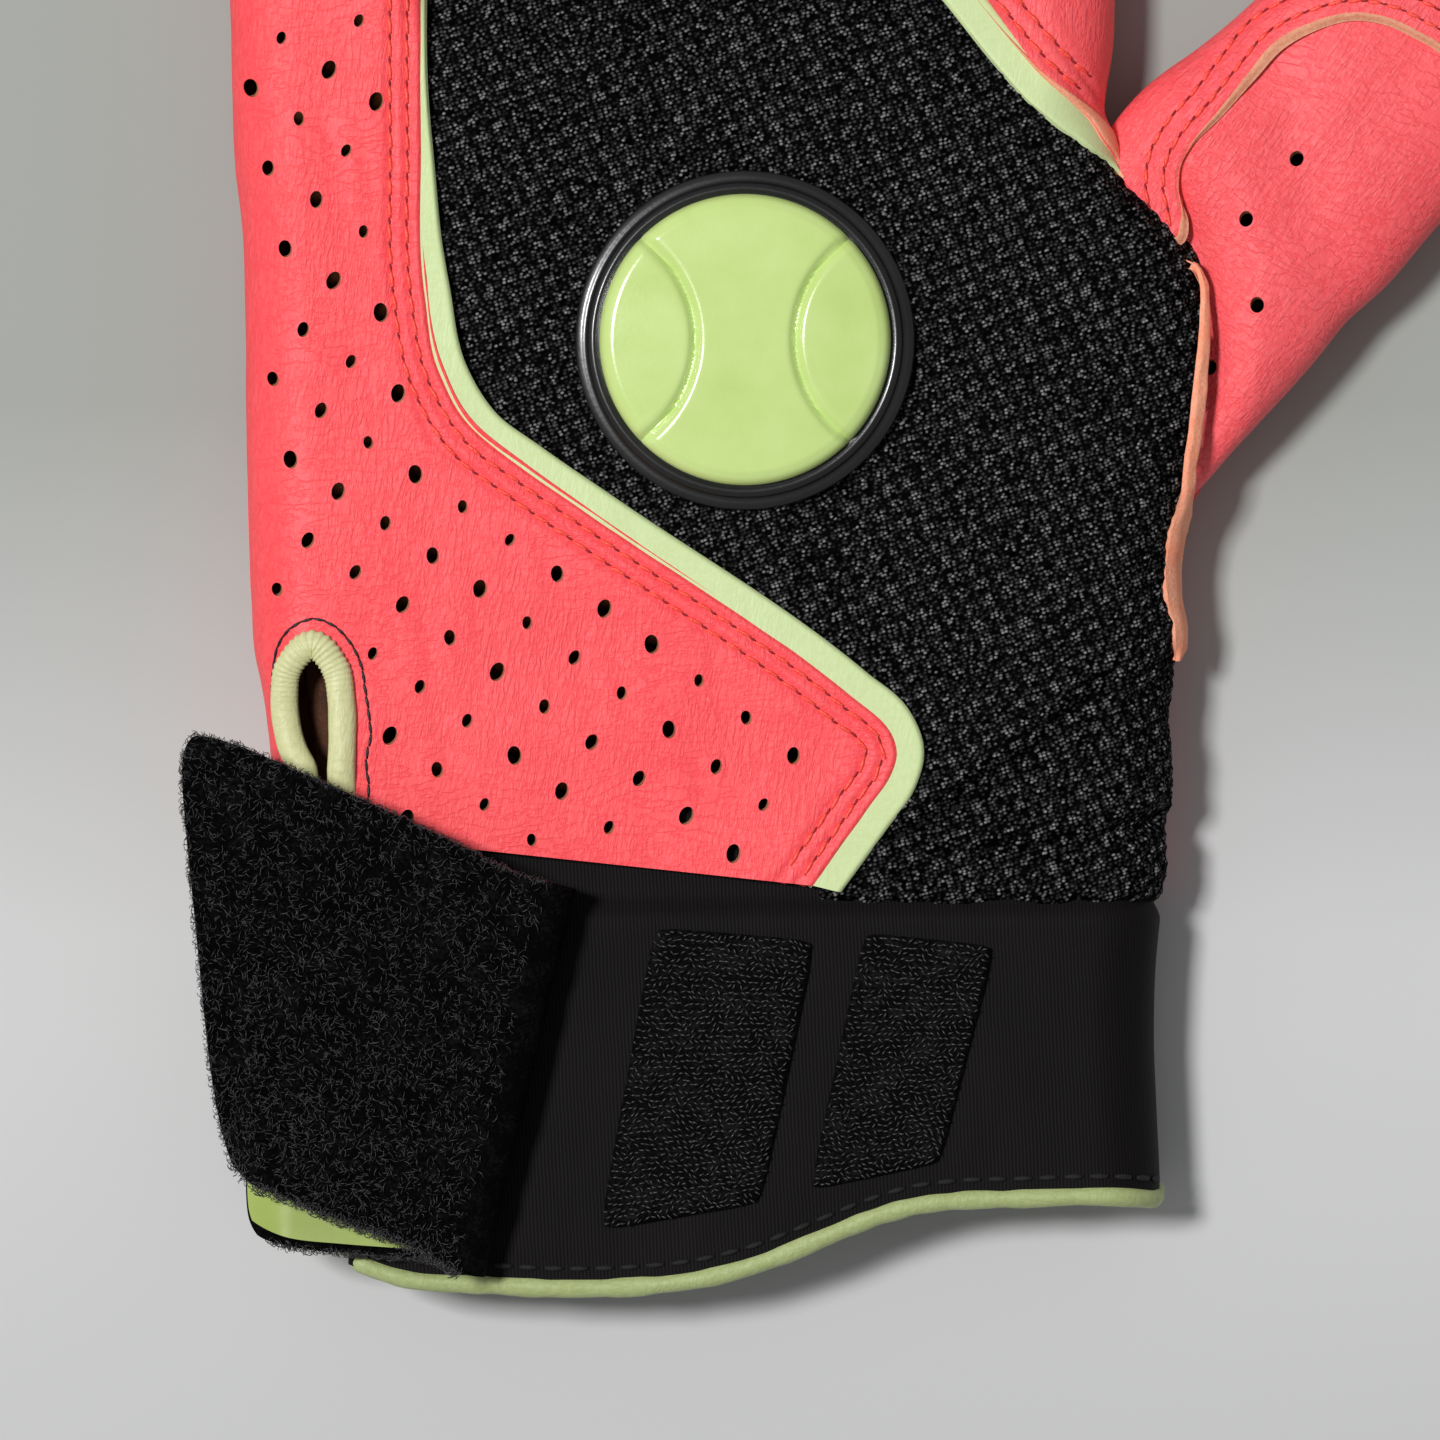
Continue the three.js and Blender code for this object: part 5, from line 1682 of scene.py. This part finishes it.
# %% Form of the thumb
THUMB_ROOT = np.array([42.5, 11.6])
THUMB_ALONG = np.array([0.7009, 0.7133])
THUMB_TIP_ROUND = 12
THUMB_BEND = (3.0, 24.0)
thumb = Digit("thumb", THUMB_ALONG, THUMB_ROOT, THUMB_TIP_ROUND, THUMB_BEND)
thumb_start = through([(-15.5, 10.8), (-13.6, 10.3), (-3, 8.5), (6.1, 2.35), (16.8, -10.3)])
THUMB_DIP = 2.6
THUMB_BULGE = 1.2
BULGE_PLACE = 17.5
BULGE_RUN = 6.5
START_SPAN = (-15, 16)
THUMB_TUCK = 6.0
THUMB_TUCK_DROP = 2.4
THUMB_VENTS = [(22.6, -0.9), (14.7, -0.15), (9.35, 6.66), (1.8, 7.4)]


def thumb_size(forward, on_left):
    """Half the width and half the height of the thumb."""
    share = np.clip(forward / thumb.shaft, 0, 1)
    half = thumb.root_half + (thumb.tip_half - thumb.root_half) * share
    tall = (thumb.root_height + (thumb.tip_height - thumb.root_height) * share) / 2
    return half + THUMB_BULGE * bell(forward - BULGE_PLACE, BULGE_RUN) * on_left, tall


def thumb_skin(side):
    """The upper (1) or lower (-1) skin of the thumb, over flat places along and across it."""

    def form(forward, aside, lift):
        half, tall = thumb_size(forward, aside < 0)
        past = np.clip((forward - thumb.shaft) / thumb.tip_round, 0, 1)
        out = np.clip(np.hypot(aside / half, past), 0, 1)
        rise = (1 - out**SECTION) ** (1 / SECTION)
        dip = THUMB_DIP * (1 - smooth((forward - thumb_start(aside)) / 9)) if side > 0 else 0
        grow = 1 + lift * out**6 / half
        height = tall + side * ((tall + lift) * rise) - dip * rise
        return np.column_stack([thumb.plan(forward, aside * grow), np.maximum(height, TABLE_GAP)])

    return form


print("thumb", round(thumb.length, 1), "mm long,", round(2 * thumb.root_half, 1), "mm wide at its root")

# %% [markdown]
# The thumb's back and front meet at half height on both sides. The back has four air holes, punched like
# the others. A grid laid across the thumb bunches its columns at the sides, because the skin turns steeply
# down there.

# %% Thumb back and front
def thumb_plan(begin, height):
    """Rows that start at a line on the hand and end round the tip, with columns crowded at both sides."""

    def plan(u, v):
        across = -np.cos((u * 0.999 + 0.0005) * math.pi)
        dome = np.clip((v - DOME) / (1 - DOME), 0, 1) * math.pi / 2
        first = begin(across * thumb.root_half)
        forward = first + np.minimum(v / DOME, 1) * (thumb.shaft - first)
        forward = forward + thumb.tip_round * np.sin(dome) * 0.999
        aside = thumb_size(forward, across < 0)[0] * across * np.cos(dome)
        return forward, aside, height(forward, aside)

    return plan


def past_start(forward, aside):
    return forward - thumb_start(np.clip(aside, *START_SPAN))


def thumb_relief(forward, aside):
    fold = 0.5 * bell(forward - 46 - 0.1 * aside, 1.3) + 0.4 * bell(forward - 22 + 0.5 * aside, 3.5)
    crease = 1.2 * bell(past_start(forward, aside) - 0.9, 1.7) * (1 - smooth((aside - 9) / 6))
    return 0.1 + 1.5 * wrinkles(aside, forward, 91) - fold - crease


def tucked_relief(forward, aside):
    """The thumb's back, going down under the mesh."""
    tucked = smooth(-past_start(forward, aside) / THUMB_TUCK)
    return thumb_relief(forward, aside) - THUMB_TUCK_DROP * tucked


def back_start(aside):
    """The thumb's back starts under the mesh, so that no gap opens when the thumb bends."""
    return thumb_start(aside) - THUMB_TUCK * (1 - smooth((aside - 7) / 5))


back_plan = thumb_plan(back_start, tucked_relief)
# The thumb's leather is painted lighter than the hand's, to offset the shade on its slope.
thumb_back = panel("thumb_back_leather", 70, 116, back_plan, thumb_skin(1), thumb_leather, turned=True)
thicken(close_seams(thumb_back), LEATHER, suede_inside)
rods = bmesh.new()
for i, (forward, aside) in enumerate(THUMB_VENTS):
    place = thumb_skin(1)(np.array([forward]), np.array([aside]), 0.1)[0] - ROD_SINK
    hole_punch(rods, place, 0.72, -0.3 + 0.2 * i, 1.1, -0.2)
punch(thumb_back, rods, hole_wall)
bend_at_root(thumb_back, thumb, "coral_leather", "thumb_back")

front_start = through([(-16, 8.0), (0, 0), (16, -11)])
front_plan = thumb_plan(front_start, thumb_relief)
thumb_front = panel("thumb_front_leather", 70, 110, front_plan, thumb_skin(-1), thumb_leather)
thicken(close_seams(thumb_front), LEATHER, suede_inside)
bend_at_root(thumb_front, thumb, "coral_leather", "thumb_front")

# %% [markdown]
# A second layer of leather wraps the side and the tip of the thumb. Its raw edge draws a long arch over the
# thumb's back, with a tan line of bare hide and two stitch rows inside it. The sheet spans from that edge
# to the thumb's outline.

# %% Thumb wrap
WRAP_EDGE = [(7.6, -4.1), (8.6, -3.5), (10.2, -4.4), (12.4, -7.3), (13.9, -8.5), (16.2, -9.2),
             (20.3, -9.44), (25.1, -9.8), (29.6, -10), (33, -9), (37, -6.5), (38.8, -3.9), (39.9, -0.8),
             (40.5, 1.6), (40.2, 5), (38.8, 8), (36.4, 10.8), (33, 13.2)]
WRAP_STEPS = 160
WRAP_START = 9.6
WRAP_END = 33
WRAP_LIFT = 0.95
wrap_edge = trace(WRAP_EDGE, WRAP_STEPS + 1)
wrap_inwards = right_hand(wrap_edge)


def wrap_outline(share):
    """Places round the thumb at half height: from the crotch up the left side, round the tip and back."""
    left_end, tip = 0.55, 0.35
    side = np.clip(share / left_end, 0, 1)
    round_tip = np.clip((share - left_end) / tip, 0, 1) * math.pi
    back = np.clip((share - left_end - tip) / (1 - left_end - tip), 0, 1)
    forward = WRAP_START + side * (thumb.shaft - WRAP_START)
    forward = forward + thumb.tip_round * np.sin(round_tip) - back * (thumb.shaft - WRAP_END)
    return forward, -thumb_size(forward, round_tip < 1)[0] * np.cos(round_tip)


def wrap_height(forward, aside, inside):
    height = WRAP_LIFT - 0.28 * bell(inside, 0.35) + wrinkles(aside, forward, 95) * smooth(inside / 5)
    for row in STITCH_ROWS:
        height = height - 0.22 * bell(inside - row, 0.5)
    return height


def wrap_plan(u, v):
    i = np.rint(v * WRAP_STEPS).astype(int)
    out_forward, out_aside = wrap_outline(v)
    u = 1 - (1 - u) ** 1.6
    forward = wrap_edge[i, 0] + u * (out_forward - wrap_edge[i, 0])
    aside = wrap_edge[i, 1] + u * (out_aside - wrap_edge[i, 1])
    inside = from_line(forward, aside, wrap_edge[::4])
    return forward, aside, wrap_height(forward, aside, inside)


wrap = panel("thumb_wrap_leather", 40, WRAP_STEPS, wrap_plan, thumb_skin(1), thumb_leather, turned=True)
bend_at_root(thicken(wrap, FINGER_LEATHER, suede_inside), thumb, "coral_leather", "thumb_wrap")
hide_run = run_along(wrap_edge)
hide_width = through([(0, 0.9), (2.8, 0.9), (4.6, 0.25), (7, 0.12), (10, 0.12), (14.3, 0.57), (19, 0.85),
                      (23, 1), (31, 0.85), (38, 0.78), (56, 0.7)])


def hide_plan(u, v):
    i = np.rint(v * WRAP_STEPS).astype(int)
    off = (0.4 - u) * hide_width(hide_run[i])
    forward, aside = (wrap_edge[i] + wrap_inwards[i] * off[:, None]).T
    height = WRAP_LIFT + 0.04 - 0.5 * smooth((u - 0.2) / 0.8) + 0.04 * ripple(forward, aside, 1.2, 96)
    return forward, aside, height


hide = panel("wrap_raw_edge", 8, WRAP_STEPS, hide_plan, thumb_skin(1), tan_edge)
bend_at_root(thicken(hide, 0.35), thumb, "raw_leather_edge")
wrap_rows = []
for row in STITCH_ROWS:
    line = (wrap_edge + wrap_inwards * row)[6:150].T
    wrap_rows.append(thumb_skin(1)(*line, wrap_height(*line, row) + 0.08))
for sewn in lockstitch("wrap_stitches", wrap_rows, 2.0, 1.75):
    bend_at_root(sewn, thumb, "coral_leather")
